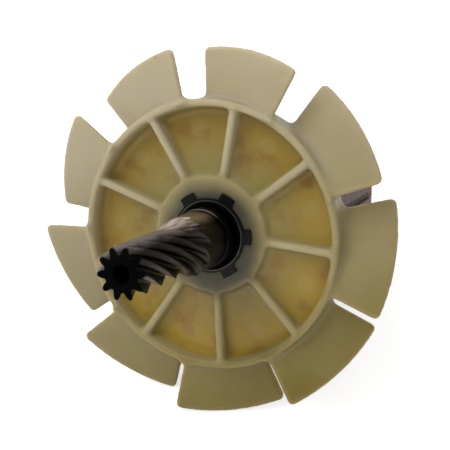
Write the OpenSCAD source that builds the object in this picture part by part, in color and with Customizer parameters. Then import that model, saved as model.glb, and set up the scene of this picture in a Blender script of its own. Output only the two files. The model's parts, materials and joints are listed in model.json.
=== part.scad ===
// Motor armature of a hand-held power tool, lying at rest on its fan and its commutator.
// Every piece is drawn on the shaft's own line first: local +Z points at the pinion, local zero
// is the front plane of the fan's rim, and depths are counted backwards from that plane.
// lie_down() then lays the whole armature on the ground. All sizes are in millimetres.

/* [Shaft] */
// Radius of the bearing journal at the drive end
journal_r = 7.5; // [6.8:0.1:9.5]
// Length of that journal
journal_len = 8.5; // [7:0.5:12]
// Height of the shoulder that the drive-end bearing stops against
collar_top = 2.5; // [1:0.5:4]
// Step from the journal up to the seat that the fan is pressed on
shoulder_height = 0.6; // [0.4:0.1:1.5]
// Depth of the grinding groove between the shoulder and the fan
groove_depth = 0.6; // [0.2:0.1:1]
// Step from the fan's seat down to the shaft under the lamination core
core_step = 1.1; // [0.5:0.1:2]
// Step from there down to the commutator's seat
commutator_step = 1; // [0.5:0.1:1.8]
// Step from there down to the journal at the commutator end
rear_step = 1.5; // [1:0.1:2.2]
// Length of the journal at the commutator end
rear_journal_len = 11; // [8:0.5:16]
// Free shaft between the commutator and that journal
rear_neck_len = 4; // [2:0.5:8]

/* [Pinion] */
// Length from the journal to the pinion's end face
pinion_len = 32; // [29:0.5:41]
// Length from the journal to the foot of the taper that leads to the tooth tips
taper_offset = 2.5; // [1.5:0.5:4]
// Length of that taper
taper_len = 4; // [2:0.5:6]
// Number of pinion teeth
teeth = 10; // [8:1:12]
// Radius over the pinion's tooth tips
tip_r = 6.2; // [5.8:0.1:6.6]
// Normal module of the teeth
tooth_module = 0.9; // [0.8:0.05:1]
// Axial length of one full turn of a tooth
tooth_lead = 71.5; // [55:0.5:110]
// Radius of the hob that left the run-outs
hob_r = 16; // [12:1:30]

/* [Fan] */
// Radius over the blade tips
fan_r = 50; // [44:0.5:62]
// Length of a blade beyond the rim
blade_reach = 13.4; // [10:0.1:18]
// Number of blades, and of ribs
blades = 9; // [7:1:11]
// Angle that one blade spans, seen along the shaft
blade_span = 34.3; // [24:0.1:34.3]
// Pitch of a blade against the fan's plane
blade_pitch = 19; // [12:0.5:22]
// Thickness of a blade
blade_thick = 1.9; // [1.5:0.1:2.4]
// Radius of a blade's outer corners
blade_corner = 1.3; // [0.8:0.1:2]
// Radius of the fillet where a blade grows out of the rim
blade_fillet = 1.5; // [0.5:0.1:1.5]
// Depth of a blade's middle plane behind the rim's front
blade_depth = 4.8; // [4:0.1:6]
// Thickness of the rim's wall
rim_wall = 2; // [1.5:0.1:3]
// Depth of the pocket floor behind the rim's front
floor_depth = 5.7; // [5:0.1:7]
// Thickness of the pocket floor
floor_thick = 2; // [1.5:0.1:2.5]
// Length of the rim's skirt behind the pocket floor
rim_skirt = 2.1; // [0.8:0.1:4]
// Nylon between the insert's lugs and the outside of the hub boss
hub_wall = 4.1; // [3:0.1:6]
// Depth of the hub boss behind the rim's front
hub_depth = 3.7; // [3:0.1:4.5]
// Thickness of a rib
rib_thick = 2.2; // [1.6:0.1:3]
// Radius of the round mark that an ejector pin left in each pocket
ejector_r = 2.4; // [1.5:0.1:3]

/* [Fan insert] */
// Wall of the insert's body round its bore
insert_wall = 2.1; // [1.7:0.1:3]
// Height of a lug over the insert's body
lug_height = 2.1; // [1.4:0.1:3]
// Width of a lug
lug_width = 4.1; // [3:0.1:5]
// Number of lugs
lugs = 6; // [4:1:8]
// Depth of the insert's front face behind the rim's front
insert_depth = 2.9; // [2:0.1:3.6]
// Length of the insert
insert_len = 8.2; // [7.5:0.1:12]
// Width of the flat ring left round the countersink in its front face
insert_lip = 0.7; // [0.3:0.1:1.2]

/* [Lamination core] */
// Outer radius of the core
core_r = 27; // [22.5:0.5:33]
// Length of the core
core_len = 55; // [35:1:80]
// Solid ring of the core between the sleeve and the bed of a slot
back_iron = 6.8; // [5:0.1:8]
// Width of a slot's opening
slot_mouth = 2.6; // [2:0.1:3]
// Width of a tooth between two slots
core_tooth = 5; // [4.2:0.1:5.6]
// Thickness of the tooth lips over a slot
slot_lip = 1; // [0.8:0.1:1.4]
// Thickness of an end disc
end_disc_thick = 2; // [1:0.1:3]
// Thickness of the slot paper
liner_thick = 0.3; // [0.2:0.05:0.4]
// Wall of the insulating sleeve round the shaft
sleeve_wall = 2; // [1.5:0.1:2.4]

/* [Winding] */
// Axial reach of an end turn beyond its straight exit
end_turn_reach = 13.5; // [12:0.1:18]
// Gap between the front end turns and the fan's insert
fan_gap = 1.9; // [1:0.1:8]
// Radius of a coil lead
lead_r = 0.7; // [0.5:0.05:0.8]
// Radius of the binding cord
cord_r = 0.55; // [0.4:0.05:0.6]

/* [Commutator] */
// Radius of the brush track
track_r = 17.5; // [14.5:0.1:19]
// Height of the risers over the brush track
riser_height = 2.5; // [2:0.1:3.5]
// Length of the risers
riser_len = 3.5; // [3:0.1:5]
// Length of a commutator bar
bar_len = 27; // [24:0.5:36]
// Gap between two bars
bar_gap = 0.7; // [0.4:0.05:0.9]
// Depth of the undercut between two bars
undercut = 0.7; // [0.3:0.1:1]
// Free length between the end turns and the commutator, where the leads are bound
lead_room = 3.5; // [3.4:0.1:8]

/* [Hidden] */
$fn = 96;
// Number of slots, and of coils, and how many slots a coil spans
slots = 12;
coil_pitch = 5;
coil_names = [for (i = [1 : slots]) str("coil_", i < 10 ? "0" : "", i)];
bars = 2 * slots;
bar_names = [for (i = [1 : bars]) str("commutator_bar_", i < 10 ? "0" : "", i)];
single_names = [
    "shaft", "fan", "fan_insert", "shaft_sleeve", "lamination_core",
    "front_end_disc", "rear_end_disc", "slot_liners", "slot_wedges",
    "commutator_moulding", "commutator_bush", "front_retaining_ring",
    "rear_retaining_ring", "lead_binding"
];

nylon = "#ada388";
black_steel = "#2b2b2a";
ground_steel = "#6b6862";
electrical_steel = "#6b5e5b";
copper = "#a8612f";
enamel = "#8a3f1d";
phenolic = "#3a2a22";
paper = "#8d8a6a";
insulation = "#b9b49c";
brass = "#a68a4a";
cord_white = "#cfc9b8";

// Angles of the features round the shaft, in the armature's own frame
rib_phase = -7.7;
lug_phase = -3;
tooth_phase = 0.3;

// Radii that follow from the steps and walls
fan_seat_r = journal_r + shoulder_height;
core_seat_r = fan_seat_r - core_step;
commutator_seat_r = core_seat_r - commutator_step;
rear_journal_r = commutator_seat_r - rear_step;
insert_r = fan_seat_r + insert_wall;
insert_sink_r = insert_r - insert_lip;
lug_r = insert_r + lug_height;
hub_r = lug_r + hub_wall;
rim_r = fan_r - blade_reach;
rim_inner = rim_r - rim_wall;
sleeve_r = core_seat_r + sleeve_wall;
riser_r = track_r + riser_height;

// Length that a coil takes beyond an end disc
exit_len = 1;
bend_len = 1.5;
nose_rise = 1;
end_turn_len = exit_len + bend_len + end_turn_reach + nose_rise;

// Depths along the shaft, as local heights
journal_top = collar_top + journal_len;
shoulder_foot = journal_top + taper_offset;
shoulder_top = shoulder_foot + taper_len;
pinion_top = journal_top + pinion_len;
web_back = -floor_depth - floor_thick;
rim_back = web_back - rim_skirt;
insert_face = -insert_depth;
insert_back = insert_face - insert_len;
sleeve_front = insert_back - 1.5;
core_front = insert_back - fan_gap - end_turn_len - end_disc_thick;
core_back = core_front - core_len;
disc_front = core_front + end_disc_thick;
disc_back = core_back - end_disc_thick;
bar_front = disc_back - end_turn_len - lead_room;
bar_back = bar_front - bar_len;
moulding_front = bar_front + 0.8;
moulding_back = bar_back - 1;
sleeve_back = moulding_front + 2;
shaft_back = moulding_back - rear_neck_len - rear_journal_len;
end_chamfer = 0.5;

// Smallest overlap that keeps a cut clean
over = 0.1;

// ---- helpers for swept and skinned solids ----

function polar(r, a, z) = [r * cos(a), r * sin(a), z];

function flatten(lists) = [for (one = lists) for (item = one) item];

function unit(v) = v / norm(v);

// Faces between rings of n points; ring k + 1 lies behind ring k and each runs anticlockwise
function side_faces(rings, n, closed) = [
    for (k = [0 : rings - (closed ? 1 : 2)])
        for (j = [0 : n - 1])
            let (
                a = k * n + j,
                b = k * n + (j + 1) % n,
                c = ((k + 1) % rings) * n + (j + 1) % n,
                d = ((k + 1) % rings) * n + j
            )
            each [[a, b, c], [a, c, d]]
];

// Caps as fans round two centre points that follow the rings
function cap_faces(rings, n) = [
    for (j = [0 : n - 1])
        each [
            [(j + 1) % n, j, rings * n],
            [(rings - 1) * n + j, (rings - 1) * n + (j + 1) % n, rings * n + 1]
        ]
];

// ---- how the armature lies ----

// Outline of a blade in its own plane: x runs outwards from the shaft and y round it
rim_bite = 1;
side_slope = atan(tan(blade_span / 2) / cos(blade_pitch));

// How far out a point of the blade's plane is, to lie on a circle round the shaft
function reach(r, y) = sqrt(pow(r, 2) - pow(y * cos(blade_pitch), 2));

half_blade =
    let (
        // centre of the corner, inside both the tip and the side line
        far = fan_r - blade_corner * 2,
        corner_y = far * sin(side_slope) - blade_corner,
        corner_x = reach(fan_r, corner_y) - blade_corner * 1.04,
        side_y = (corner_x * sin(side_slope) - blade_corner) / cos(side_slope),
        root = rim_r + blade_fillet,
        root_turn = side_slope + asin(blade_fillet / root),
        root_y = root * sin(root_turn)
    )
    concat(
        [for (i = [0 : 6]) let (y = i / 7 * side_y) [reach(fan_r, y), y]],
        [
            for (a = [10 : 20 : 90 + side_slope])
                [corner_x, side_y] + blade_corner * [cos(a), sin(a)]
        ],
        [
            for (a = [0 : 22.5 : 67.5])
                root * [cos(root_turn), sin(root_turn)]
                + blade_fillet * [cos(side_slope - 90 - a), sin(side_slope - 90 - a)]
        ],
        [for (i = [6 : -1 : 0]) let (y = i / 6 * root_y) [reach(rim_r - rim_bite, y), y]]
    );

blade_outline = concat(
    half_blade,
    [for (i = [len(half_blade) - 2 : -1 : 1]) [half_blade[i][0], -half_blade[i][1]]]
);

// A point of the blade's plane, lifted off it, in the armature's frame
function blade_point(p, lift, turn) =
    let (
        y = p[1] * cos(blade_pitch) + lift * sin(blade_pitch),
        z = -blade_depth - p[1] * sin(blade_pitch) + lift * cos(blade_pitch)
    )
    [p[0] * cos(turn) - y * sin(turn), p[0] * sin(turn) + y * cos(turn), z];

function blade_points(turn) = [
    for (side = [-1, 1])
        for (p = blade_outline) blade_point(p, side * blade_thick / 2, turn)
];

// The two blades that carry the fan: the armature rests on the arc of one
// and on the rear corner of its neighbour
blade_angle = 360 / blades;
first_low = rib_phase - floor((90 + rib_phase) / blade_angle) * blade_angle;
resting_arc = blade_points(first_low);
resting_corner = blade_points(first_low - blade_angle);

// The rolls that turn the one or the other straight down
least_roll = -90 - first_low;
most_roll = least_roll + blade_angle;

function height(p, tilt, roll) =
    p[2] * sin(tilt) + (p[0] * sin(roll) + p[1] * cos(roll)) * cos(tilt);

function lowest(points, tilt, roll) = min([for (p = points) height(p, tilt, roll)]);

// The roll at which both blades touch the ground, found by halving the range
function find_roll(tilt, low, high, steps) =
    let (
        middle = (low + high) / 2,
        gap = lowest(resting_corner, tilt, middle) - lowest(resting_arc, tilt, middle)
    )
    steps == 0 ? middle
    : gap > 0 ? find_roll(tilt, middle, high, steps - 1)
    : find_roll(tilt, low, middle, steps - 1);

// The tilt at which the commutator's rear edge touches the ground as well
function find_tilt(low, high, steps) =
    let (
        middle = (low + high) / 2,
        roll = find_roll(middle, least_roll, most_roll, 20),
        fan_low = lowest(resting_arc, middle, roll),
        rear_low = bar_back * sin(middle) - track_r * cos(middle)
    )
    steps == 0 ? middle
    : rear_low > fan_low ? find_tilt(middle, high, steps - 1)
    : find_tilt(low, middle, steps - 1);

rest_tilt = find_tilt(4, 30, 20);
rest_roll = find_roll(rest_tilt, least_roll, most_roll, 24);
rest_height = -lowest(resting_arc, rest_tilt, rest_roll);

// The ends of the armature along the ground, which set the middle of its length
drive_end = -pinion_top * cos(rest_tilt) - (tip_r - end_chamfer / 2) * sin(rest_tilt);
rear_end = -shaft_back * cos(rest_tilt) + (rear_journal_r - end_chamfer) * sin(rest_tilt);
rest_shift = -(drive_end + rear_end) / 2;

module lie_down() {
    translate([0, rest_shift, rest_height])
        rotate([90 - rest_tilt, 0, 0])
            rotate([0, 0, rest_roll])
                children();
}

// ---- shaft ----

// One tooth as [angle, radius] pairs, an involute flank on a root circle
pressure = 20;
profile_shift = 0.4;
helix = atan(tan(asin(min(0.9, 3.14159 * teeth * tooth_module / tooth_lead))));
pitch_r = teeth * tooth_module / cos(helix) / 2;
root_r = pitch_r - (1.25 - profile_shift) * tooth_module;
transverse = atan(tan(pressure) / cos(helix));
base_r = pitch_r * cos(transverse);

function involute(a) = tan(a) * 180 / 3.14159265 - a;

function half_tooth(r) =
    (90 + 2 * profile_shift * tan(pressure) * 180 / 3.14159265) / teeth
    + involute(transverse) - (r > base_r ? involute(acos(base_r / r)) : 0);

flank_radii = [for (f = [0.02, 0.35, 0.7, 1]) base_r + f * (tip_r - base_r)];
half_profile = concat(
    [[-180 / teeth, root_r], [-180 / teeth * 0.74, root_r]],
    [for (r = flank_radii) [-half_tooth(r), r]]
);
tooth_profile = concat(
    half_profile,
    [for (i = [len(half_profile) - 1 : -1 : 1]) [-half_profile[i][0], half_profile[i][1]]]
);

// How far the hob had left the work at a height
journal_cut = journal_r - 0.05;
runout_foot = journal_top + 0.3;
runout_rise = journal_cut - root_r;
runout_top = runout_foot + sqrt(pow(hob_r, 2) - pow(hob_r - runout_rise, 2));

function hob_lift(z) =
    z >= runout_top ? 0
    : hob_r - sqrt(max(0, pow(hob_r, 2) - pow(runout_top - max(z, runout_foot), 2)));

// Radius of the turned blank that the teeth are cut into
function blank_r(z) =
    z > pinion_top - end_chamfer ? tip_r - (z - pinion_top + end_chamfer) * 0.6
    : z >= shoulder_top ? tip_r
    : z <= shoulder_foot ? journal_cut
    : tip_r + (journal_cut - tip_r) * (shoulder_top - z) / (shoulder_top - shoulder_foot);

straight_rings = 15;
runout_step = 1.1;
pinion_heights = concat(
    [pinion_top],
    [
        for (i = [0 : straight_rings])
            pinion_top - end_chamfer
            - i / straight_rings * (pinion_top - end_chamfer - runout_top)
    ],
    [for (z = [runout_top - runout_step : -runout_step : runout_foot + 0.3]) z],
    [runout_foot, journal_top - 1]
);

function pinion_ring(z) = [
    for (t = [0 : teeth - 1])
        for (p = tooth_profile)
            let (
                r = min(blank_r(z), p[1] + hob_lift(z)),
                a = tooth_phase + t * 360 / teeth + p[0] + (z - pinion_top) * 360 / tooth_lead
            )
            polar(r, a, z)
];

module pinion() {
    rings = [for (z = pinion_heights) pinion_ring(z)];
    n = len(rings[0]);
    last = pinion_heights[len(rings) - 1];
    polyhedron(
        concat(flatten(rings), [[0, 0, pinion_top], [0, 0, last]]),
        concat(side_faces(len(rings), n, false), cap_faces(len(rings), n))
    );
}

module turned_shaft() {
    groove_top = insert_face + 1.9;
    groove_foot = insert_face - 1.4;
    core_seat_top = insert_back - 0.6;
    commutator_seat_top = moulding_front + 1;
    neck_foot = moulding_back - rear_neck_len;
    rotate_extrude()
        polygon([
            [0, shaft_back],
            [rear_journal_r - end_chamfer, shaft_back],
            [rear_journal_r, shaft_back + end_chamfer],
            [rear_journal_r, neck_foot],
            [commutator_seat_r - end_chamfer, neck_foot],
            [commutator_seat_r, neck_foot + end_chamfer],
            [commutator_seat_r, commutator_seat_top],
            [core_seat_r, commutator_seat_top],
            [core_seat_r, core_seat_top],
            [fan_seat_r, core_seat_top],
            [fan_seat_r, groove_foot],
            [fan_seat_r - groove_depth, groove_foot],
            [fan_seat_r - groove_depth, groove_top],
            [fan_seat_r, groove_top],
            [fan_seat_r, collar_top - 0.3],
            [fan_seat_r - 0.3, collar_top],
            [journal_r, collar_top],
            [journal_r, journal_top],
            [0, journal_top]
        ]);
}

// Centre hole with a 60 degree countersink, opening at local zero and going down
centre_hole_r = 1.6;
centre_sink_r = 2.15;
centre_hole_depth = 6;

module centre_hole() {
    sink_depth = (centre_sink_r - centre_hole_r) / tan(30);
    rotate_extrude()
        polygon([
            [0, over],
            [centre_sink_r + over * tan(30), over],
            [centre_hole_r, -sink_depth],
            [centre_hole_r, -centre_hole_depth],
            [0, -centre_hole_depth - centre_hole_r / 2]
        ]);
}

module shaft() {
    color(ground_steel)
        lie_down()
            difference() {
                union() {
                    turned_shaft();
                    pinion();
                }
                translate([0, 0, pinion_top]) centre_hole();
                translate([0, 0, shaft_back]) mirror([0, 0, 1]) centre_hole();
            }
}

// ---- fan ----

// The insert's outline: a round body with lugs that flare into it
module insert_outline() {
    half = lug_width / 2;
    flare = 0.7;
    centre_x = sqrt(pow(insert_r + flare, 2) - pow(half + flare, 2));
    start = atan2(half + flare, centre_x);
    circle(insert_r);
    for (i = [0 : lugs - 1])
        rotate(lug_phase + i * 360 / lugs)
            intersection() {
                circle(lug_r);
                polygon(concat(
                    [[0, 0]],
                    [for (s = [-1, 1]) each
                        let (
                            arc = [
                                for (f = [0.25 : 0.25 : 1])
                                    let (a = 180 + start + f * (90 - start))
                                    [centre_x + flare * cos(a), half + flare + flare * sin(a)]
                            ],
                            side = concat(arc, [[lug_r + 1, half]])
                        )
                        s > 0 ? [for (i = [len(side) - 1 : -1 : 0]) side[i]]
                        : [for (p = side) [p[0], -p[1]]]
                    ]
                ));
            }
}

// Arc points of a rounded corner, from one angle to another
function arc(x, y, r, from, to, steps) =
    [for (i = [0 : steps]) let (a = from + i * (to - from) / steps) [x + r * cos(a), y + r * sin(a)]];

module fan_body() {
    lip = 0.7;
    foot = 0.9;
    hub_foot_r = hub_r - 2;
    hub_round = 0.8;
    hub_back = min(insert_back, web_back - 1.5);
    rotate_extrude()
        polygon(concat(
            [[insert_r - 2, hub_back], [hub_foot_r, hub_back]],
            [[hub_foot_r + 1, hub_back + 1], [hub_foot_r + 1, web_back]],
            [[rim_inner - 0.4, web_back], [rim_inner, rim_back]],
            [[rim_r - 0.4, rim_back], [rim_r, rim_back + 0.4]],
            arc(rim_r - lip, -lip, lip, 0, 90, 4),
            arc(rim_inner + lip, -lip, lip, 90, 180, 4),
            arc(rim_inner - foot, -floor_depth + foot, foot, 0, -90, 4),
            arc(hub_r + foot, -floor_depth + foot, foot, 270, 180, 4),
            arc(hub_r - hub_round, -hub_depth - hub_round, hub_round, 0, 90, 4),
            [[insert_r - 2, -hub_depth]]
        ));
}

// A rib's top falls from the rim to the hub. Its section has draft and a rounded top.
rib_drop = hub_depth - 0.5;
rib_run = rim_inner - hub_r;
rib_slope = atan(rib_drop / rib_run);
rib_into = 1.2;

module rib_section(height) {
    half = rib_thick / 2;
    round_r = 0.7;
    draft = 0.02;
    polygon(concat(
        [[-half - height * draft, -height], [half + height * draft, -height]],
        arc(half - round_r, -round_r, round_r, 0, 90, 3),
        arc(round_r - half, -round_r, round_r, 90, 180, 3)
    ));
}

module rib() {
    length = (rib_run + 2 * rib_into) / cos(rib_slope);
    foot_r = 0.8;
    // the fillets start a little below the floor, so that their edge is a clean cut
    foot_sink = 0.04;
    intersection() {
        // along the slope, from inside the hub to inside the rim
        translate([hub_r - rib_into, 0, -hub_depth - rib_into * tan(rib_slope)])
            rotate([0, -rib_slope, 0])
                rotate([90, 0, 90])
                    linear_extrude(length)
                        rib_section(floor_depth);
        translate([hub_r - rib_into, -rib_thick * 2, -floor_depth - floor_thick / 2])
            cube([rib_run + 2 * rib_into, rib_thick * 4, floor_depth * 2]);
    }
    // fillets on the pocket floor
    half = rib_thick / 2;
    translate([hub_r - rib_into / 2, 0, -floor_depth - foot_sink])
        rotate([90, 0, 90])
            linear_extrude(rib_run + rib_into)
                polygon(concat(
                    [[-half - foot_r, -0.5], [half + foot_r, -0.5]],
                    arc(half + foot_r, foot_r, foot_r, 270, 180, 3),
                    arc(-half - foot_r, foot_r, foot_r, 0, -90, 3)
                ));
}

module blade() {
    translate([0, 0, -blade_depth])
        rotate([-blade_pitch, 0, 0])
            translate([0, 0, -blade_thick / 2])
                linear_extrude(blade_thick)
                    polygon(blade_outline);
}

ejector_ring_r = hub_r + 0.69 * (rim_inner - hub_r);
ejector_mark = 0.15;

module fan() {
    color(nylon)
        lie_down()
            difference() {
                union() {
                    fan_body();
                    for (i = [0 : blades - 1])
                        rotate([0, 0, rib_phase + i * blade_angle]) {
                            rib();
                            blade();
                        }
                }
                translate([0, 0, insert_back - 2])
                    linear_extrude(insert_len + 4)
                        insert_outline();
                for (i = [0 : blades - 1])
                    rotate([0, 0, rib_phase + (i + 0.5) * blade_angle])
                        translate([ejector_ring_r, 0, -floor_depth - ejector_mark])
                            cylinder(r = ejector_r, h = 1);
            }
}

module fan_insert() {
    sink_depth = 1.3;
    color(black_steel)
        lie_down()
            difference() {
                translate([0, 0, insert_back]) linear_extrude(insert_len) insert_outline();
                rotate_extrude()
                    polygon([
                        [0, insert_back - 1],
                        [fan_seat_r, insert_back - 1],
                        [fan_seat_r, insert_face - sink_depth],
                        [insert_sink_r, insert_face],
                        [insert_sink_r, insert_face + 1],
                        [0, insert_face + 1]
                    ]);
            }
}

// ---- lamination core and its insulation ----

slot_angle = 360 / slots;
slot_top = core_r - slot_lip - 0.7;
slot_bed = sleeve_r + back_iron;
wedge_thick = 0.9;

// Half the width of a slot at a radius, between two parallel-sided teeth
function slot_half(x) = x * tan(slot_angle / 2) - core_tooth / 2 / cos(slot_angle / 2);

// Slot outline drawn inwards by an inset, up to the lips; the flanks run past the top by more
function slot_points(inset, more) =
    let (
        bed_r = slot_bed * sin(slot_angle / 2) - core_tooth / 2 - inset,
        side = inset / cos(slot_angle / 2),
        top = slot_top + more
    )
    concat(
        [[top, -slot_half(top) + side], [top, slot_half(top) - side]],
        [
            for (a = [90 + slot_angle / 2 : 25 : 270 - slot_angle / 2])
                [slot_bed + bed_r * cos(a), bed_r * sin(a)]
        ]
    );

module slot_hole() {
    shoulder = slot_half(slot_top);
    polygon(slot_points(0, 0));
    polygon([
        [slot_top - over, -shoulder + over],
        [slot_top, -shoulder],
        [core_r - slot_lip, -slot_mouth / 2],
        [core_r + 1, -slot_mouth / 2],
        [core_r + 1, slot_mouth / 2],
        [core_r - slot_lip, slot_mouth / 2],
        [slot_top, shoulder],
        [slot_top - over, shoulder - over]
    ]);
}

module each_slot() {
    for (i = [0 : slots - 1]) rotate([0, 0, i * slot_angle]) children();
}

module lamination_outline(r) {
    difference() {
        circle(r);
        circle(sleeve_r);
        for (i = [0 : slots - 1]) rotate(i * slot_angle) slot_hole();
    }
}

module lamination_core() {
    color(electrical_steel)
        lie_down()
            translate([0, 0, core_back]) linear_extrude(core_len) lamination_outline(core_r);
}

end_disc_inset = 0.5;

module end_disc(foot) {
    color(insulation)
        lie_down()
            translate([0, 0, foot])
                linear_extrude(end_disc_thick)
                    lamination_outline(core_r - end_disc_inset);
}

module front_end_disc() {
    end_disc(core_front);
}

module rear_end_disc() {
    end_disc(disc_back);
}

cuff = 0.8;
liner_len = disc_front - disc_back + 2 * cuff;

module slot_liners() {
    color(paper)
        lie_down()
            each_slot()
                translate([0, 0, disc_back - cuff])
                    linear_extrude(liner_len)
                        difference() {
                            polygon(slot_points(0, 0));
                            polygon(slot_points(liner_thick, 1));
                        }
}

module slot_wedges() {
    low = slot_top - wedge_thick;
    high = slot_top + 0.35;
    side = liner_thick / cos(slot_angle / 2);
    color(phenolic)
        lie_down()
            each_slot()
                translate([0, 0, disc_back - cuff / 2])
                    linear_extrude(liner_len - cuff)
                        polygon([
                            [low, -slot_half(low) + side],
                            [slot_top, -slot_half(slot_top) + side],
                            [high, -slot_mouth / 2 - 0.8],
                            [high, slot_mouth / 2 + 0.8],
                            [slot_top, slot_half(slot_top) - side],
                            [low, slot_half(low) - side]
                        ]);
}

module shaft_sleeve() {
    color(insulation)
        lie_down()
            translate([0, 0, sleeve_back])
                difference() {
                    cylinder(r = sleeve_r, h = sleeve_front - sleeve_back);
                    translate([0, 0, -1]) cylinder(r = core_seat_r, h = sleeve_front - sleeve_back + 2);
                }
}

// ---- coils ----

half_throw = coil_pitch * slot_angle / 2;
winding_gap = 0.06;
turn_gap = 0.8;

// A coil lies in the top of one slot and the bottom of another, so each slot holds two layers
winding_top = slot_top - wedge_thick - winding_gap;
layer = (winding_top - slot_bed - winding_gap) / 2;
upper_r = winding_top - layer / 2;
lower_r = slot_bed + layer / 2;
section_cut = 0.27 * layer;

// The widest section that lies between the liner's walls at a radius
function side_width(r) =
    2 * (slot_half(r - layer / 2 + section_cut) - liner_thick / cos(slot_angle / 2) - winding_gap);

// The width that leaves a gap between two neighbouring end turns at a radius
function turn_width(r) =
    let (
        run = r * half_throw * 3.14159 / 180,
        slope = atan(end_turn_reach / run)
    )
    2 * 3.14159 * r / slots * sin(slope) - turn_gap;

// Sections as [radius, width, height]
turn_height = layer - 0.5;
upper_side = [upper_r, side_width(upper_r), layer];
lower_side = [lower_r, side_width(lower_r), layer];
upper_turn = [upper_r, turn_width(upper_r), turn_height];
lower_turn = [lower_r, turn_width(lower_r), turn_height];
nose_r = (upper_r + lower_r) / 2;
nose = [nose_r, turn_width(nose_r) - 0.3, turn_height - 0.3];

// One half of an end turn, from the slot to the nose, as [angle, reach, size]
function end_turn(slot_size, leg_size) = concat(
    [[0, 0, slot_size]],
    [
        for (f = [0 : 0.2 : 0.8])
            [half_throw * f, bend_len + end_turn_reach * f, leg_size]
    ],
    [[half_throw * 0.93, bend_len + end_turn_reach * 0.92, (leg_size + nose) / 2]]
);

function mirrored(list) = [
    for (i = [len(list) - 1 : -1 : 0]) [2 * half_throw - list[i][0], list[i][1], list[i][2]]
];

turn_path = concat(
    end_turn(upper_side, upper_turn),
    [[half_throw, bend_len + end_turn_reach * 0.96, nose]],
    mirrored(end_turn(lower_side, lower_turn))
);
front_exit = disc_front + exit_len;
rear_exit = disc_back - exit_len;

// The whole coil: rear end turn one way, front end turn back again, as [point, radius, size]
coil_path = concat(
    [for (s = turn_path) [s[0], rear_exit - s[1], s[2]]],
    [
        for (i = [len(turn_path) - 1 : -1 : 0])
            let (s = turn_path[i]) [s[0], front_exit + s[1], s[2]]
    ]
);

function coil_point(s) = polar(s[2][0], s[0], s[1]);

// An eight-sided ring of the coil's section, square to the path
function coil_ring(i) =
    let (
        n = len(coil_path),
        here = coil_path[i],
        ahead = coil_point(coil_path[(i + 1) % n]),
        behind = coil_point(coil_path[(i + n - 1) % n]),
        out = [cos(here[0]), sin(here[0]), 0],
        run = ahead - behind,
        along = unit(run - (run * out) * out),
        across = cross(along, out),
        w = here[2][1] / 2,
        h = here[2][2] / 2,
        cut = min(section_cut, 0.6 * w, 0.6 * h),
        corners = [
            [w, h - cut], [w - cut, h], [cut - w, h], [-w, h - cut],
            [-w, cut - h], [cut - w, -h], [w - cut, -h], [w, cut - h]
        ]
    )
    [for (c = corners) coil_point(here) + c[0] * across + c[1] * out];

module coil_loop() {
    rings = [for (i = [0 : len(coil_path) - 1]) coil_ring(i)];
    polyhedron(flatten(rings), side_faces(len(rings), len(rings[0]), true));
}

lead_line_r = track_r + lead_r;
binding_turns = 3;
binding_step = cord_r * 1.7;
binding_foot = bar_front + 0.2;
lead_straight = binding_foot + 2 * cord_r + (binding_turns - 1) * binding_step + 0.5;
lead_end = bar_front - riser_len + 0.2;
bar_angle = 360 / bars;
// How far the rounded knee of a lead stands out from it
lead_knee = 0.06;

// A lead runs from the coil's nose to its own riser as round rods with round joints
module rod(from, to) {
    way = to - from;
    translate(from)
        rotate([0, acos(way[2] / norm(way)), atan2(way[1], way[0])])
            cylinder(r = lead_r, h = norm(way));
}

module coil_lead(angle, start_r) {
    start = polar(start_r, angle, rear_exit - bend_len - end_turn_reach * 0.86);
    bend = polar(lead_line_r, angle, lead_straight);
    rod(start, bend);
    translate(bend) sphere(r = lead_r + lead_knee);
    rod(bend, polar(lead_line_r, angle, lead_end));
}

module coil(i) {
    color(enamel)
        lie_down()
            rotate([0, 0, (i - 1) * slot_angle])
                union() {
                    coil_loop();
                    coil_lead(half_throw - bar_angle / 2, upper_turn[0]);
                    coil_lead(half_throw + bar_angle / 2, lower_turn[0]);
                }
}

module lead_binding() {
    ring_r = lead_line_r + lead_r + cord_r;
    color(cord_white)
        lie_down()
            for (i = [0 : binding_turns - 1])
                translate([0, 0, binding_foot + cord_r + i * binding_step])
                    rotate_extrude()
                        translate([ring_r, 0]) circle(cord_r);
}

// ---- commutator ----

anchor_r = track_r - 5.3;
ring_slot = [track_r - 3.3, track_r - 1.3];
ring_slot_depth = 3;
bar_heel = 0.8;

module bar_section() {
    polygon([
        [riser_r - 0.4, bar_front],
        [riser_r, bar_front - 0.4],
        [riser_r, bar_front - riser_len],
        [track_r, bar_front - riser_len - 0.6],
        [track_r, bar_back + 0.4],
        [track_r - 0.4, bar_back],
        [ring_slot[1], bar_back],
        [ring_slot[1], bar_back + ring_slot_depth],
        [ring_slot[0], bar_back + ring_slot_depth],
        [ring_slot[0], bar_back + bar_heel],
        [anchor_r, bar_back + bar_heel],
        [anchor_r, bar_back + ring_slot_depth + 1],
        [anchor_r + 1, bar_back + ring_slot_depth + 2],
        [anchor_r + 1, bar_front - ring_slot_depth - 2],
        [anchor_r, bar_front - ring_slot_depth - 1],
        [anchor_r, bar_front - bar_heel],
        [ring_slot[0], bar_front - bar_heel],
        [ring_slot[0], bar_front - ring_slot_depth],
        [ring_slot[1], bar_front - ring_slot_depth],
        [ring_slot[1], bar_front]
    ]);
}

bar_width_angle = bar_angle - 2 * asin(bar_gap / 2 / track_r);
first_bar_angle = half_throw + bar_angle / 2;

module commutator_bar_solid() {
    difference() {
        rotate([0, 0, -bar_width_angle / 2]) rotate_extrude(angle = bar_width_angle) bar_section();
        translate([track_r, -lead_r, bar_front - riser_len - 1])
            cube([riser_r, 2 * lead_r, riser_len + 2]);
    }
}

module commutator_bar(i) {
    color(copper)
        lie_down()
            rotate([0, 0, first_bar_angle + (i - 1) * bar_angle]) commutator_bar_solid();
}

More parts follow.
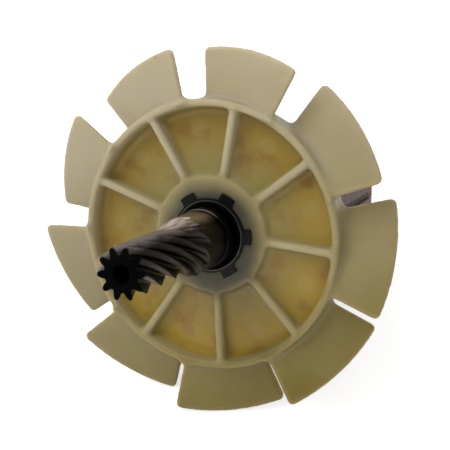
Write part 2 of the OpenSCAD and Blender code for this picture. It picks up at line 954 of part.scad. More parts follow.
bush_wall = 2;
bush_r = commutator_seat_r + bush_wall;

module retaining_ring_section(foot) {
    margin = 0.3;
    translate([ring_slot[0] + margin, foot])
        square([ring_slot[1] - ring_slot[0] - 2 * margin, ring_slot_depth - 2 * margin]);
}

front_ring_foot = bar_front - ring_slot_depth + 0.3;
rear_ring_foot = bar_back + 0.3;

module commutator_moulding() {
    color(phenolic)
        lie_down()
            difference() {
                rotate_extrude()
                    difference() {
                        polygon([
                            [bush_r, moulding_back],
                            [track_r - undercut - 0.5, moulding_back],
                            [track_r - undercut, moulding_back + 0.5],
                            [track_r - undercut, moulding_front - 0.5],
                            [track_r - undercut - 0.5, moulding_front],
                            [bush_r, moulding_front]
                        ]);
                        retaining_ring_section(front_ring_foot);
                        retaining_ring_section(rear_ring_foot);
                    }
                for (i = [1 : bars])
                    rotate([0, 0, first_bar_angle + (i - 1) * bar_angle])
                        rotate([0, 0, -bar_width_angle / 2])
                            rotate_extrude(angle = bar_width_angle)
                                bar_section();
            }
}

module commutator_bush() {
    length = moulding_front - moulding_back;
    color(brass)
        lie_down()
            translate([0, 0, moulding_back])
                difference() {
                    cylinder(r = bush_r, h = length);
                    translate([0, 0, -1]) cylinder(r = commutator_seat_r, h = length + 2);
                }
}

module retaining_ring(foot) {
    color(ground_steel) lie_down() rotate_extrude() retaining_ring_section(foot);
}

module front_retaining_ring() {
    retaining_ring(front_ring_foot);
}

module rear_retaining_ring() {
    retaining_ring(rear_ring_foot);
}

shaft();
fan();
fan_insert();
shaft_sleeve();
lamination_core();
front_end_disc();
rear_end_disc();
slot_liners();
slot_wedges();
commutator_moulding();
commutator_bush();
front_retaining_ring();
rear_retaining_ring();
lead_binding();
for (i = [1 : slots]) coil(i);
for (i = [1 : bars]) commutator_bar(i);
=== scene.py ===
import json
import math

import bpy
import numpy as np
from mathutils import Euler, Matrix, Vector


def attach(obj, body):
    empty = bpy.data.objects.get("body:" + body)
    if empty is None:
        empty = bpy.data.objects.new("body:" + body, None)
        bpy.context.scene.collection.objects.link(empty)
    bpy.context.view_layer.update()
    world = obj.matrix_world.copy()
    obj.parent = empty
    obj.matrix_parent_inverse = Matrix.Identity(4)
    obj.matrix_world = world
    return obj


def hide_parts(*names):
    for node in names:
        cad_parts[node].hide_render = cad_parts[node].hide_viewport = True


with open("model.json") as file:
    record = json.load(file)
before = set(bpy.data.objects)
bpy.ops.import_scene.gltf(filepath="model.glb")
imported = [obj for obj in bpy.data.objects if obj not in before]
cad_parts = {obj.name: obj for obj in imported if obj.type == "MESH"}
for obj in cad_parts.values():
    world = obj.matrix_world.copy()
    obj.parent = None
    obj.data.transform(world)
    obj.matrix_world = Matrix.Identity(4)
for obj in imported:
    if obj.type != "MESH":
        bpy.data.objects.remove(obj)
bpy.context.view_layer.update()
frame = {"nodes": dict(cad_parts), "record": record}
nodes = frame["nodes"]
record = frame["record"]
scene = bpy.context.scene
mm = 0.001
print("frame loaded:", len(nodes), "nodes")

# The armature's own frame: +z along the shaft to the pinion, zero at the rim's front
pose = {
    "seatHeight": 6.75,  # middle of the drive-end journal above the rim's front, mm
    "roll": 7.274808,  # turn of the fan round the shaft, degrees
}

seat = next(m for m in record["mounts"] if m["name"] == "drive_end_bearing_seat")
shaftWay = Vector(seat["axis"])
shaftTilt = math.asin(shaftWay.z)
axisZero = Vector(seat["pos_m"]) - shaftWay * pose["seatHeight"] * mm
layDown = (
    Matrix.Translation(axisZero)
    @ Matrix.Rotation(math.pi / 2 - shaftTilt, 4, "X")
    @ Matrix.Rotation(math.radians(pose["roll"]), 4, "Z")
)
standUp = layDown.inverted()

cameraSet = {
    "place": (81.96, 32.08, 175.42),  # in the armature's own frame, mm
    "turn": (9.29, -23.01, 0.68),  # degrees about x, y and z
    "lens": 58.99,  # on a sensor 36 mm wide
}


def placeCamera():
    data = bpy.data.cameras.new("camera")
    data.lens = cameraSet["lens"]
    data.sensor_width = 36
    data.clip_start, data.clip_end = 0.01, 10
    camera = bpy.data.objects.new("camera", data)
    scene.collection.objects.link(camera)
    scene.camera = camera
    look = Euler([math.radians(a) for a in cameraSet["turn"]], "XYZ").to_matrix()
    place = Matrix.Translation(Vector(cameraSet["place"]) * mm)
    camera.matrix_world = layDown @ place @ look.transposed().to_4x4()
    return camera


camera = placeCamera()
print("camera placed")


def linearRgb(hexCode):
    parts = [int(hexCode[i:i + 2], 16) / 255 for i in (1, 3, 5)]
    return [p / 12.92 if p <= 0.04045 else ((p + 0.055) / 1.055) ** 2.4 for p in parts] + [1]


def addNode(tree, kind, settings=None, **inputs):
    # settings are the node's own properties; inputs are sockets by name, or by place as s0, s1...;
    # a value is a number, a colour, another node's socket, or a node, whose first output is meant
    node = tree.nodes.new("ShaderNode" + kind)
    for name, value in (settings or {}).items():
        setattr(node, name, value)
    for name, value in inputs.items():
        place = name.replace("_", " ")
        socket = node.inputs[int(name[1:])] if name[1:].isdigit() else node.inputs[place]
        if isinstance(value, bpy.types.Node):
            value = value.outputs[0]
        if isinstance(value, bpy.types.NodeSocket):
            tree.links.new(value, socket)
        else:
            socket.default_value = value
    return node


smooth = {"interpolation_type": "SMOOTHSTEP"}
colour = {"data_type": "RGBA"}
times = {"operation": "MULTIPLY"}
timesPlus = {"operation": "MULTIPLY_ADD"}
larger = {"operation": "MAXIMUM"}


def newMaterial(name):
    material = bpy.data.materials.new(name)
    material.use_nodes = True
    tree = material.node_tree
    tree.nodes.clear()
    return material, tree


def finishMaterial(tree, shader):
    out = tree.nodes.new("ShaderNodeOutputMaterial")
    tree.links.new(shader.outputs[0], out.inputs["Surface"])


def ownPoint(tree):
    # Object coordinates turned into the armature's own frame, in mm
    coord = addNode(tree, "TexCoord")
    inner = standUp.to_3x3().to_euler("XYZ")
    shift = standUp.translation / mm
    return addNode(
        tree, "Mapping", Vector=coord.outputs["Object"],
        Location=tuple(shift), Rotation=tuple(inner), Scale=(1 / mm,) * 3
    ).outputs[0]


# Floor, backdrop and lamps
studio = {
    "floorSize": 6.0,  # m
    "floorTone": "#dcdcda",
    "floorGlow": 0.62,  # added where the floor itself is looked at, so that it stays white
    "worldTone": 0.49,
    "roomTone": 0.03,  # what metal mirrors from the side away from the white backdrop
    "keyPlace": (-0.35, -0.45, 0.75),
    "keyPower": 4.2,
    "keySize": 0.5,
    "fillPlace": (0.15, -0.85, 0.30),
    "fillPower": 2.7,
    "fillSize": 0.8,
    "rimPlace": (0.1, 0.75, 0.6),  # behind, so that thin nylon glows at its edges
    "rimPower": 1.6,
    "rimSize": 0.5,
}


def lookedAt(tree):
    # 1 for rays from the eye, from a reflection or through something clear, and 0 for plain light
    path = addNode(tree, "LightPath")
    seen = addNode(tree, "Math", larger,
                   s0=path.outputs["Is Camera Ray"], s1=path.outputs["Is Glossy Ray"])
    return addNode(tree, "Math", larger, s0=seen, s1=path.outputs["Is Transmission Ray"])


def makeStudio(s):
    floorMesh = bpy.data.meshes.new("floor")
    half = s["floorSize"] / 2
    floorMesh.from_pydata(
        [(-half, -half, 0), (half, -half, 0), (half, half, 0), (-half, half, 0)], [], [(0, 1, 2, 3)]
    )
    floor = bpy.data.objects.new("floor", floorMesh)
    scene.collection.objects.link(floor)
    floor.location.z = -0.0001
    material, tree = newMaterial("painted studio floor")
    plain = addNode(tree, "BsdfDiffuse", Color=linearRgb(s["floorTone"]))
    glow = addNode(tree, "Emission", Color=(1, 1, 1, 1), Strength=s["floorGlow"])
    dark = addNode(tree, "Emission", Color=(0, 0, 0, 1), Strength=0.0)
    shown = addNode(tree, "MixShader", s0=lookedAt(tree), s1=dark, s2=glow)
    finishMaterial(tree, addNode(tree, "AddShader", s0=plain, s1=shown))
    floorMesh.materials.append(material)

    world = bpy.data.worlds.new("studio")
    scene.world = world
    world.use_nodes = True
    tree = world.node_tree
    tree.nodes.clear()
    # a white backdrop beyond and above the armature, and a darker room in front that only metal shows
    way = addNode(tree, "SeparateXYZ", Vector=addNode(tree, "TexCoord").outputs["Generated"])
    rising = addNode(tree, "Math", timesPlus, s0=way.outputs[2], s1=0.8, s2=way.outputs[1])
    beyond = addNode(tree, "MapRange", smooth, s0=rising, s1=0.0, s2=0.9, s3=s["roomTone"], s4=1.0)
    path = addNode(tree, "LightPath")
    straight = addNode(tree, "Math", larger,
                       s0=path.outputs["Is Camera Ray"], s1=path.outputs["Is Transmission Ray"])
    shown = addNode(tree, "Math", larger, s0=straight, s1=beyond)
    level = addNode(tree, "Mix", s0=lookedAt(tree), s2=s["worldTone"], s3=shown)
    light = addNode(tree, "Background", Color=(1, 1, 1, 1), Strength=level)
    out = tree.nodes.new("ShaderNodeOutputWorld")
    tree.links.new(light.outputs[0], out.inputs["Surface"])

    for name in ("key", "fill", "rim"):
        data = bpy.data.lights.new(name + " lamp", "AREA")
        data.energy = s[name + "Power"]
        data.size = s[name + "Size"]
        lamp = bpy.data.objects.new(name + " lamp", data)
        scene.collection.objects.link(lamp)
        lamp.location = s[name + "Place"]
        lamp.visible_glossy = False  # metal mirrors the backdrop and the room instead
        aim = Vector((0, -0.05, 0.05)) - Vector(s[name + "Place"])
        lamp.rotation_euler = aim.to_track_quat("-Z", "Y").to_euler()


makeStudio(studio)
scene.view_settings.view_transform = "Standard"
print("studio made")


def ownFields(tree):
    # the armature's own x, y and z, and the distance from its axis, all in mm
    point = ownPoint(tree)
    parts = addNode(tree, "SeparateXYZ", Vector=point)
    flat = addNode(tree, "CombineXYZ", X=parts.outputs[0], Y=parts.outputs[1])
    radius = addNode(tree, "VectorMath", {"operation": "LENGTH"}, s0=flat)
    return point, parts.outputs[0], parts.outputs[1], parts.outputs[2], radius.outputs["Value"]


# Moulded natural nylon, aged: waxy, slightly see-through and yellowed, with painted light and painted
# shade in its tone
nylonSet = {
    # High tones go to the upper left and Low tones to the lower right; the difference between them is
    # painted light
    "creamHigh": "#aba287", "creamLow": "#7a6c2e",
    "goldRimHigh": "#8d7630", "goldRimLow": "#99812f",
    "goldHubHigh": "#8c8250", "goldHubLow": "#857033",
    "insertShadeTone": "#35322a", "stain": "#7a5520",
    "cloudSize": 14.0,  # mm, width of a stain
    "speckSize": 5.0,  # mm between dirt specks
    "markRadius": 28.96, "markSize": 2.4,  # ejector marks
    "mark": "#c2b893", "ribTop": "#c9c2ab", "speck": "#3a2f1c",
    "pockets": 9, "pocketTurn": 7.7,  # how many, and how far the first is turned, degrees
}


def mouldedNylon(s):
    material, tree = newMaterial("moulded nylon")
    point, x, y, z, radius = ownFields(tree)
    cloud = addNode(tree, "TexNoise", Vector=point, Scale=1 / s["cloudSize"], Detail=3.0, Roughness=0.55)
    fine = addNode(tree, "TexNoise", Vector=point, Scale=0.45, Detail=4.0, Roughness=0.6)
    # painted light: paler cream towards the upper left as a painted sheen from the light above, and a
    # brighter rim gold towards the lower right for light shining through the nylon; a cloud makes the
    # tone uneven
    leaning = addNode(tree, "Math", timesPlus, s0=x, s1=-0.25, s2=y)
    paintedTopLight = addNode(tree, "MapRange", s0=leaning, s1=-46.0, s2=46.0, s3=0.0, s4=1.0)
    paintedLightAndCloud = addNode(tree, "Math", {"operation": "MULTIPLY_ADD", "use_clamp": True},
                      s0=cloud, s1=0.5, s2=-0.25)
    paintedLightAndCloud = addNode(tree, "Math", {"operation": "ADD", "use_clamp": True}, s0=paintedTopLight, s1=paintedLightAndCloud)
    cream, goldRim, goldHub = [
        addNode(tree, "Mix", colour, s0=paintedLightAndCloud,
                s6=linearRgb(s[name + "Low"]), s7=linearRgb(s[name + "High"]))
        for name in ("cream", "goldRim", "goldHub")
    ]
    outward = addNode(tree, "MapRange", smooth, s0=radius, s1=18.0, s2=31.0, s3=0.0, s4=1.0)
    gold = addNode(tree, "Mix", colour, s0=outward, s6=goldHub.outputs[2], s7=goldRim.outputs[2])
    # pockets: deeper than the rim's lip, between hub and rim
    upTo = addNode(tree, "MapRange", s0=radius, s1=32.0, s2=34.0, s3=-4.0, s4=-0.9)
    deep = addNode(tree, "MapRange", smooth, s0=z, s1=-5.5, s2=upTo, s3=1.0, s4=0.0)
    inRim = addNode(tree, "MapRange", smooth, s0=radius, s1=34.4, s2=35.4, s3=1.0, s4=0.0)
    offHub = addNode(tree, "MapRange", smooth, s0=radius, s1=15.0, s2=18.5, s3=0.0, s4=1.0)
    pocket = addNode(tree, "Math", times, s0=deep, s1=inRim)
    pocket = addNode(tree, "Math", times, s0=pocket, s1=offHub)
    tone = addNode(tree, "Mix", colour, s0=pocket, s6=cream.outputs[2], s7=gold.outputs[2])
    # a browner stain settled here and there against ribs and rim
    settled = addNode(tree, "TexNoise", Vector=point, Scale=0.13, Detail=2.0, Roughness=0.5)
    settled = addNode(tree, "MapRange", smooth,
                      s0=settled, s1=0.52, s2=0.72, s3=0.0, s4=0.6)
    settled = addNode(tree, "Math", times, s0=settled, s1=pocket)
    tone = addNode(tree, "Mix", colour, s0=settled, s6=tone.outputs[2], s7=linearRgb(s["stain"]))
    # round marks where the ejector pins pushed, one to a pocket
    each = 2 * math.pi / s["pockets"]
    turn = addNode(tree, "Math", {"operation": "ARCTAN2"}, s0=y, s1=x)
    turn = addNode(tree, "Math", timesPlus,
                   s0=turn, s1=1 / each, s2=s["pockets"] + math.radians(s["pocketTurn"]) / each)
    turn = addNode(tree, "Math", {"operation": "FRACT"}, s0=turn)
    turn = addNode(tree, "Math", timesPlus, s0=turn, s1=each, s2=-each / 2)
    markX = addNode(tree, "Math", {"operation": "COSINE"}, s0=turn)
    markX = addNode(tree, "Math", times, s0=radius, s1=markX)
    markX = addNode(tree, "Math", {"operation": "SUBTRACT"}, s0=markX, s1=s["markRadius"])
    markY = addNode(tree, "Math", {"operation": "SINE"}, s0=turn)
    markY = addNode(tree, "Math", times, s0=radius, s1=markY)
    away = addNode(tree, "CombineXYZ", X=markX, Y=markY)
    away = addNode(tree, "VectorMath", {"operation": "LENGTH"}, s0=away)
    mark = addNode(tree, "MapRange", smooth, s0=away.outputs["Value"],
                   s1=s["markSize"] - 0.25, s2=s["markSize"] + 0.15, s3=0.07, s4=0.0)
    mark = addNode(tree, "Math", times, s0=mark, s1=pocket)
    tone = addNode(tree, "Mix", colour, s0=mark, s6=tone.outputs[2], s7=linearRgb(s["mark"]))
    # the hub's face is yellower than the ribs
    hubTint = addNode(tree, "MapRange", smooth, s0=radius, s1=16.6, s2=18.6, s3=0.45, s4=0.0)
    tone = addNode(tree, "Mix", colour, s0=hubTint, s6=tone.outputs[2], s7=goldHub.outputs[2])
    # the ribs are paler towards their tops
    top = addNode(tree, "MapRange", smooth, s0=z, s1=-4.6, s2=-2.6, s3=0.0, s4=0.18)
    onRib = addNode(tree, "Math", times, s0=inRim, s1=offHub)
    onRib = addNode(tree, "Math", times, s0=onRib, s1=top)
    tone = addNode(tree, "Mix", colour, s0=onRib, s6=tone.outputs[2], s7=linearRgb(s["ribTop"]))
    # painted shade: a dark halo round the insert, uneven at its edge
    paintedInsertShade = addNode(tree, "Math", timesPlus, s0=cloud, s1=5.0, s2=radius)
    paintedInsertShade = addNode(tree, "Math", timesPlus, s0=y, s1=0.1, s2=paintedInsertShade)
    paintedInsertShade = addNode(tree, "MapRange", smooth, s0=paintedInsertShade, s1=13.6, s2=20.0, s3=0.85, s4=0.0)
    tone = addNode(tree, "Mix", colour, s0=paintedInsertShade, s6=tone.outputs[2], s7=linearRgb(s["insertShadeTone"]))
    # a few dark specks of dirt
    cells = addNode(tree, "TexVoronoi", Vector=point, Scale=1 / s["speckSize"])
    near = addNode(tree, "Math", {"operation": "LESS_THAN"}, s0=cells, s1=0.045)
    chosen = addNode(tree, "SeparateXYZ", Vector=cells.outputs["Color"])
    picked = addNode(tree, "Math", {"operation": "GREATER_THAN"}, s0=chosen, s1=0.72)
    speck = addNode(tree, "Math", times, s0=near, s1=picked)
    speck = addNode(tree, "Math", times, s0=speck, s1=0.7)
    tone = addNode(tree, "Mix", colour, s0=speck, s6=tone.outputs[2], s7=linearRgb(s["speck"]))
    relief = addNode(tree, "Bump", Strength=0.25, Distance=0.0002, Height=fine)
    shine = addNode(tree, "MapRange", s0=cloud, s1=0.3, s2=0.7, s3=0.42, s4=0.55)
    shader = addNode(tree, "BsdfPrincipled", Base_Color=tone.outputs[2], Roughness=shine,
                     IOR=1.53, Subsurface_Weight=0.8, Subsurface_Radius=(1.0, 0.75, 0.4),
                     Subsurface_Scale=0.0045, Normal=relief)
    finishMaterial(tree, shader)
    return material


# Ground and hobbed steel, dark with oil: fine grinding lines round it, a painted highlight along its
# upper left, and its end face painted almost black as a dark reflection
steelSet = {
    "bright": "#d8c8bc", "plain": "#b3a498", "dark": "#080808",
    "toothBright": "#a3968e", "toothPlain": "#57514d", "oilAndPaintedShade": "#141413",
    "lineSpacing": 0.5,  # mm, coarser than real grinding lines so that they show
}


def groundSteel(s):
    material, tree = newMaterial("ground shaft steel")
    point, x, y, z, radius = ownFields(tree)
    cloud = addNode(tree, "TexNoise", Vector=point, Scale=0.22, Detail=4.0, Roughness=0.6)
    along = addNode(tree, "CombineXYZ", Z=z)
    lines = addNode(tree, "TexNoise", Vector=along, Scale=1 / s["lineSpacing"], Detail=3.0, Roughness=0.7)
    tone = addNode(tree, "Mix", colour, s0=cloud,
                   s6=linearRgb(s["plain"]), s7=linearRgb(s["bright"]))
    # the teeth are blacker than the ground journal
    toothTone = addNode(tree, "Mix", colour, s0=cloud,
                        s6=linearRgb(s["toothPlain"]), s7=linearRgb(s["toothBright"]))
    blackened = addNode(tree, "MapRange", smooth, s0=z, s1=14.0, s2=24.0, s3=0.0, s4=1.0)
    tone = addNode(tree, "Mix", colour, s0=blackened, s6=tone.outputs[2], s7=toothTone.outputs[2])
    # painted light: the upper left is kept bright as a painted highlight, and the rest is darkened with a
    # tone that is partly oil and partly painted shade
    paintedHighlightSide = addNode(tree, "Math", timesPlus, s0=x, s1=-0.5, s2=y)
    paintedHighlightSide = addNode(tree, "Math", timesPlus, s0=cloud, s1=2.5, s2=paintedHighlightSide)
    settled = addNode(tree, "MapRange", smooth, s0=paintedHighlightSide, s1=3.3, s2=7.0, s3=0.96, s4=0.0)
    tone = addNode(tree, "Mix", colour, s0=settled, s6=tone.outputs[2], s7=linearRgb(s["oilAndPaintedShade"]))
    # darker between the teeth, towards their roots
    between = addNode(tree, "MapRange", smooth, s0=radius, s1=4.3, s2=6.1, s3=0.85, s4=0.1)
    toothed = addNode(tree, "MapRange", s0=z, s1=12.0, s2=20.0, s3=0.0, s4=1.0)
    darkMask = addNode(tree, "Math", times, s0=between, s1=toothed)
    # painted reflection: the end face is darkened almost to black, standing in for the dark room it faces
    endFace = addNode(tree, "MapRange", s0=z, s1=42.3, s2=42.95, s3=0.0, s4=0.99)
    # the countersink is left out of the end face's painted reflection
    offSink = addNode(tree, "MapRange", s0=radius, s1=2.08, s2=2.14, s3=0.0, s4=1.0)
    endFace = addNode(tree, "Math", times, s0=endFace, s1=offSink)
    darkMask = addNode(tree, "Math", larger, s0=darkMask, s1=endFace)
    # darker in the corner by the fan
    corner = addNode(tree, "MapRange", smooth, s0=z, s1=1.0, s2=6.0, s3=0.9, s4=0.0)
    behind = addNode(tree, "MapRange", s0=z, s1=-20.0, s2=-12.0, s3=0.0, s4=1.0)
    corner = addNode(tree, "Math", times, s0=corner, s1=behind)
    darkMask = addNode(tree, "Math", larger, s0=darkMask, s1=corner)
    tone = addNode(tree, "Mix", colour, s0=darkMask, s6=tone.outputs[2], s7=linearRgb(s["dark"]))
    relief = addNode(tree, "Bump", Strength=0.2, Distance=0.00005, Height=lines)
    shine = addNode(tree, "MapRange", s0=cloud, s1=0.3, s2=0.7, s3=0.28, s4=0.45)
    shader = addNode(tree, "BsdfPrincipled", Base_Color=tone.outputs[2], Metallic=1.0,
                     Roughness=shine, Normal=relief)
    finishMaterial(tree, shader)
    return material


# Sintered steel under black oxide and oil: matt black with a fine grain
oxideSet = {
    "dark": "#0d0d0d", "pale": "#262524", "edgeGlint": "#8d867c",
    "edgeRadius": 9.52,  # mm, the sink's thin edge, where a painted highlight runs round
}


def blackSteel(s):
    material, tree = newMaterial("black sintered steel")
    point, x, y, z, radius = ownFields(tree)
    grain = addNode(tree, "TexNoise", Vector=point, Scale=2.5, Detail=4.0, Roughness=0.7)
    rings = addNode(tree, "TexNoise", {"noise_dimensions": "1D"}, W=radius, Scale=3.0, Detail=2.0)
    tone = addNode(tree, "Mix", colour, s0=rings,
                   s6=linearRgb(s["dark"]), s7=linearRgb(s["pale"]))
    # painted highlight: a thin pale ring along the sink's edge
    offEdge = addNode(tree, "Math", {"operation": "SUBTRACT"}, s0=radius, s1=s["edgeRadius"])
    offEdge = addNode(tree, "Math", {"operation": "ABSOLUTE"}, s0=offEdge)
    paintedEdgeGlint = addNode(tree, "MapRange", s0=offEdge, s1=0.04, s2=0.14, s3=0.8, s4=0.0)
    tone = addNode(tree, "Mix", colour, s0=paintedEdgeGlint, s6=tone.outputs[2], s7=linearRgb(s["edgeGlint"]))
    relief = addNode(tree, "Bump", Strength=0.4, Distance=0.0001, Height=grain)
    shader = addNode(tree, "BsdfPrincipled", Base_Color=tone.outputs[2], Metallic=0.7,
                     Roughness=0.42, Normal=relief)
    finishMaterial(tree, shader)
    return material


# Stacked punched laminations, 0.5 mm each, under a thin baked varnish: fine rings and faint rust
stackSet = {
    "sheet": 0.5,  # mm
    "dark": "#352925", "pale": "#7c6962", "rust": "#5a4034", "joint": "#2a2423",
}


def stackedSteel(s):
    material, tree = newMaterial("stacked varnished laminations")
    point, x, y, z, radius = ownFields(tree)
    count = addNode(tree, "Math", times, s0=z, s1=1 / s["sheet"])
    sheet = addNode(tree, "Math", {"operation": "FRACT"}, s0=count)
    joint = addNode(tree, "MapRange", s0=sheet, s1=0.0, s2=0.3, s3=0.0, s4=1.0)
    each = addNode(tree, "Math", {"operation": "FLOOR"}, s0=count)
    chance = addNode(tree, "TexNoise", {"noise_dimensions": "1D"}, W=each,
                     Scale=0.37, Detail=3.0, Roughness=0.8)
    cloud = addNode(tree, "TexNoise", Vector=point, Scale=0.12, Detail=5.0, Roughness=0.65)
    chance = addNode(tree, "MapRange", s0=chance, s1=0.32, s2=0.68, s3=0.0, s4=1.0)
    tone = addNode(tree, "Mix", colour, s0=chance, s6=linearRgb(s["dark"]), s7=linearRgb(s["pale"]))
    rust = addNode(tree, "MapRange", s0=cloud, s1=0.5, s2=0.72, s3=0.0, s4=0.5)
    tone = addNode(tree, "Mix", colour, s0=rust, s6=tone.outputs[2], s7=linearRgb(s["rust"]))
    dark = addNode(tree, "MapRange", s0=joint, s1=0.0, s2=1.0, s3=0.55, s4=0.0)
    tone = addNode(tree, "Mix", colour, s0=dark, s6=tone.outputs[2], s7=linearRgb(s["joint"]))
    relief = addNode(tree, "Bump", Strength=0.6, Distance=0.0001, Height=joint)
    shader = addNode(tree, "BsdfPrincipled", Base_Color=tone.outputs[2], Metallic=0.15,
                     Roughness=0.65, Specular_IOR_Level=0.3, Normal=relief)
    finishMaterial(tree, shader)
    return material


# Hard-drawn copper, turned round on a lathe and browned along the brush track
copperSet = {
    "fresh": "#b5713f", "worn": "#7a4a30", "stain": "#6b3d26",
    "trackFrom": -134.0, "trackTo": -116.0,  # mm, where the brushes run
}


def turnedCopper(s):
    material, tree = newMaterial("turned commutator copper")
    point, x, y, z, radius = ownFields(tree)
    grooves = addNode(tree, "TexNoise", {"noise_dimensions": "1D"}, W=z,
                      Scale=6.0, Detail=3.0, Roughness=0.7)
    cloud = addNode(tree, "TexNoise", Vector=point, Scale=0.3, Detail=4.0)
    begin = addNode(tree, "MapRange", smooth,
                    s0=z, s1=s["trackFrom"] - 1, s2=s["trackFrom"] + 1, s3=0.0, s4=1.0)
    stop = addNode(tree, "MapRange", smooth,
                   s0=z, s1=s["trackTo"] - 1, s2=s["trackTo"] + 1, s3=1.0, s4=0.0)
    track = addNode(tree, "Math", times, s0=begin, s1=stop)
    worn = addNode(tree, "Math", {"operation": "MULTIPLY_ADD", "use_clamp": True},
                   s0=grooves, s1=0.8, s2=0.1)
    worn = addNode(tree, "Math", times, s0=worn, s1=track)
    tone = addNode(tree, "Mix", colour, s0=worn, s6=linearRgb(s["fresh"]), s7=linearRgb(s["worn"]))
    stain = addNode(tree, "MapRange", s0=cloud, s1=0.45, s2=0.75, s3=0.0, s4=0.45)
    tone = addNode(tree, "Mix", colour, s0=stain, s6=tone.outputs[2], s7=linearRgb(s["stain"]))
    relief = addNode(tree, "Bump", Strength=0.25, Distance=0.00005, Height=grooves)
    shader = addNode(tree, "BsdfPrincipled", Base_Color=tone.outputs[2], Metallic=1.0,
                     Roughness=0.32, Normal=relief)
    finishMaterial(tree, shader)
    return material


# Enamelled copper wire under baked varnish: glossy red-brown, darker where the varnish has pooled
wireSet = {"dark": "#4e2310", "pale": "#a8572b"}


def varnishedWire(s):
    material, tree = newMaterial("enamelled wire under varnish")
    point, x, y, z, radius = ownFields(tree)
    cloud = addNode(tree, "TexNoise", Vector=point, Scale=0.25, Detail=4.0, Roughness=0.6)
    tone = addNode(tree, "Mix", colour, s0=cloud,
                   s6=linearRgb(s["dark"]), s7=linearRgb(s["pale"]))
    relief = addNode(tree, "Bump", Strength=0.2, Distance=0.0001, Height=cloud)
    shader = addNode(tree, "BsdfPrincipled", Base_Color=tone.outputs[2], Metallic=0.35,
                     Roughness=0.3, Coat_Weight=0.6, Coat_Roughness=0.15, Normal=relief)
    finishMaterial(tree, shader)
    return material


# Plain parts: a tone with a paler and a darker cloud, a grain, and the gloss its making gives.
# For each: name, darker and paler tone, metallic, roughness, size of the cloud in mm, depth of the grain
plainParts = {
    "moulded_insulation": ("moulded insulation", "#a9a48a", "#c2bda6", 0.0, 0.55, 6.0, 0.5),
    "slot_paper": ("pressed insulating paper", "#7d7858", "#9a9676", 0.0, 0.8, 2.0, 0.9),
    "slot_wedge": ("varnished pressed fibre", "#332a22", "#4c4136", 0.0, 0.75, 3.0, 0.4),
    "moulding": ("moulded phenolic", "#2c1f19", "#43322a", 0.0, 0.35, 5.0, 0.4),
    "bush_steel": ("turned bush steel", "#55524d", "#7a7771", 1.0, 0.4, 1.5, 0.3),
    "ring_steel": ("turned ring steel", "#55524d", "#7a7771", 1.0, 0.4, 1.5, 0.3),
    "cord": ("braided glass cord under varnish", "#b3a98c", "#d8d2c0", 0.0, 0.6, 0.7, 0.9),
}


def plainFinish(name, low, high, metallic, roughness, grainSize, bump):
    material, tree = newMaterial(name)
    point = ownPoint(tree)
    cloud = addNode(tree, "TexNoise", Vector=point, Scale=1 / grainSize, Detail=5.0, Roughness=0.65)
    grain = addNode(tree, "TexNoise", Vector=point, Scale=6 / grainSize, Detail=2.0)
    mixed = addNode(tree, "Mix", colour, s0=cloud, s6=linearRgb(low), s7=linearRgb(high))
    relief = addNode(tree, "Bump", Strength=bump, Distance=0.0001, Height=grain)
    shine = addNode(tree, "MapRange", s0=grain, s1=0.3, s2=0.7,
                    s3=roughness - 0.05, s4=roughness + 0.08)
    shader = addNode(tree, "BsdfPrincipled", Base_Color=mixed.outputs[2], Metallic=metallic,
                     Roughness=shine, Normal=relief)
    finishMaterial(tree, shader)
    return material


finishes = {
    "shaft_steel": groundSteel(steelSet),
    "fan_nylon": mouldedNylon(nylonSet),
    "insert_steel": blackSteel(oxideSet),
    "core_steel": stackedSteel(stackSet),
    "winding": varnishedWire(wireSet),
    "bar_copper": turnedCopper(copperSet),
}
for slotName, values in plainParts.items():
    finishes[slotName] = plainFinish(*values)
slotOf = {s["node"]: s["material_slot"] for s in record["subparts"]}
for name, node in nodes.items():
    node.data.materials.clear()
    node.data.materials.append(finishes[slotOf[name]])
print("materials made:", len(finishes))


def lieDown(points):
    # points in the armature's own frame, in mm, turned and moved to where the armature lies
    turn = np.array(layDown.to_3x3())
    return points * mm @ turn.T + np.array(layDown.translation)


def gridFaces(rows, columns, wrapRows=False, first=0):
    # quads between row k and row k + 1, with each row closed on itself
    k = np.arange(rows if wrapRows else rows - 1)[:, None] * columns
    ahead = (k + columns) % (rows * columns)
    j = np.arange(columns)[None, :]
    side = (j + 1) % columns
    quads = np.stack([k + j, k + side, ahead + side, ahead + j], axis=-1)
    return quads.reshape(-1, 4) + first


def makeSurface(name, points, faces, material, replaced, sharpFrom=None):
    mesh = bpy.data.meshes.new(name)
    corners = [f if isinstance(f, list) else f.tolist() for f in faces]
    mesh.from_pydata(lieDown(points).tolist(), [], corners)
    mesh.polygons.foreach_set("use_smooth", np.ones(len(mesh.polygons), bool))
    if sharpFrom:
        mesh.set_sharp_from_angle(angle=math.radians(sharpFrom))
    mesh.materials.append(material)
    piece = bpy.data.objects.new(name, mesh)
    scene.collection.objects.link(piece)
    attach(piece, "root")
    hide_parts(*replaced)
    return piece


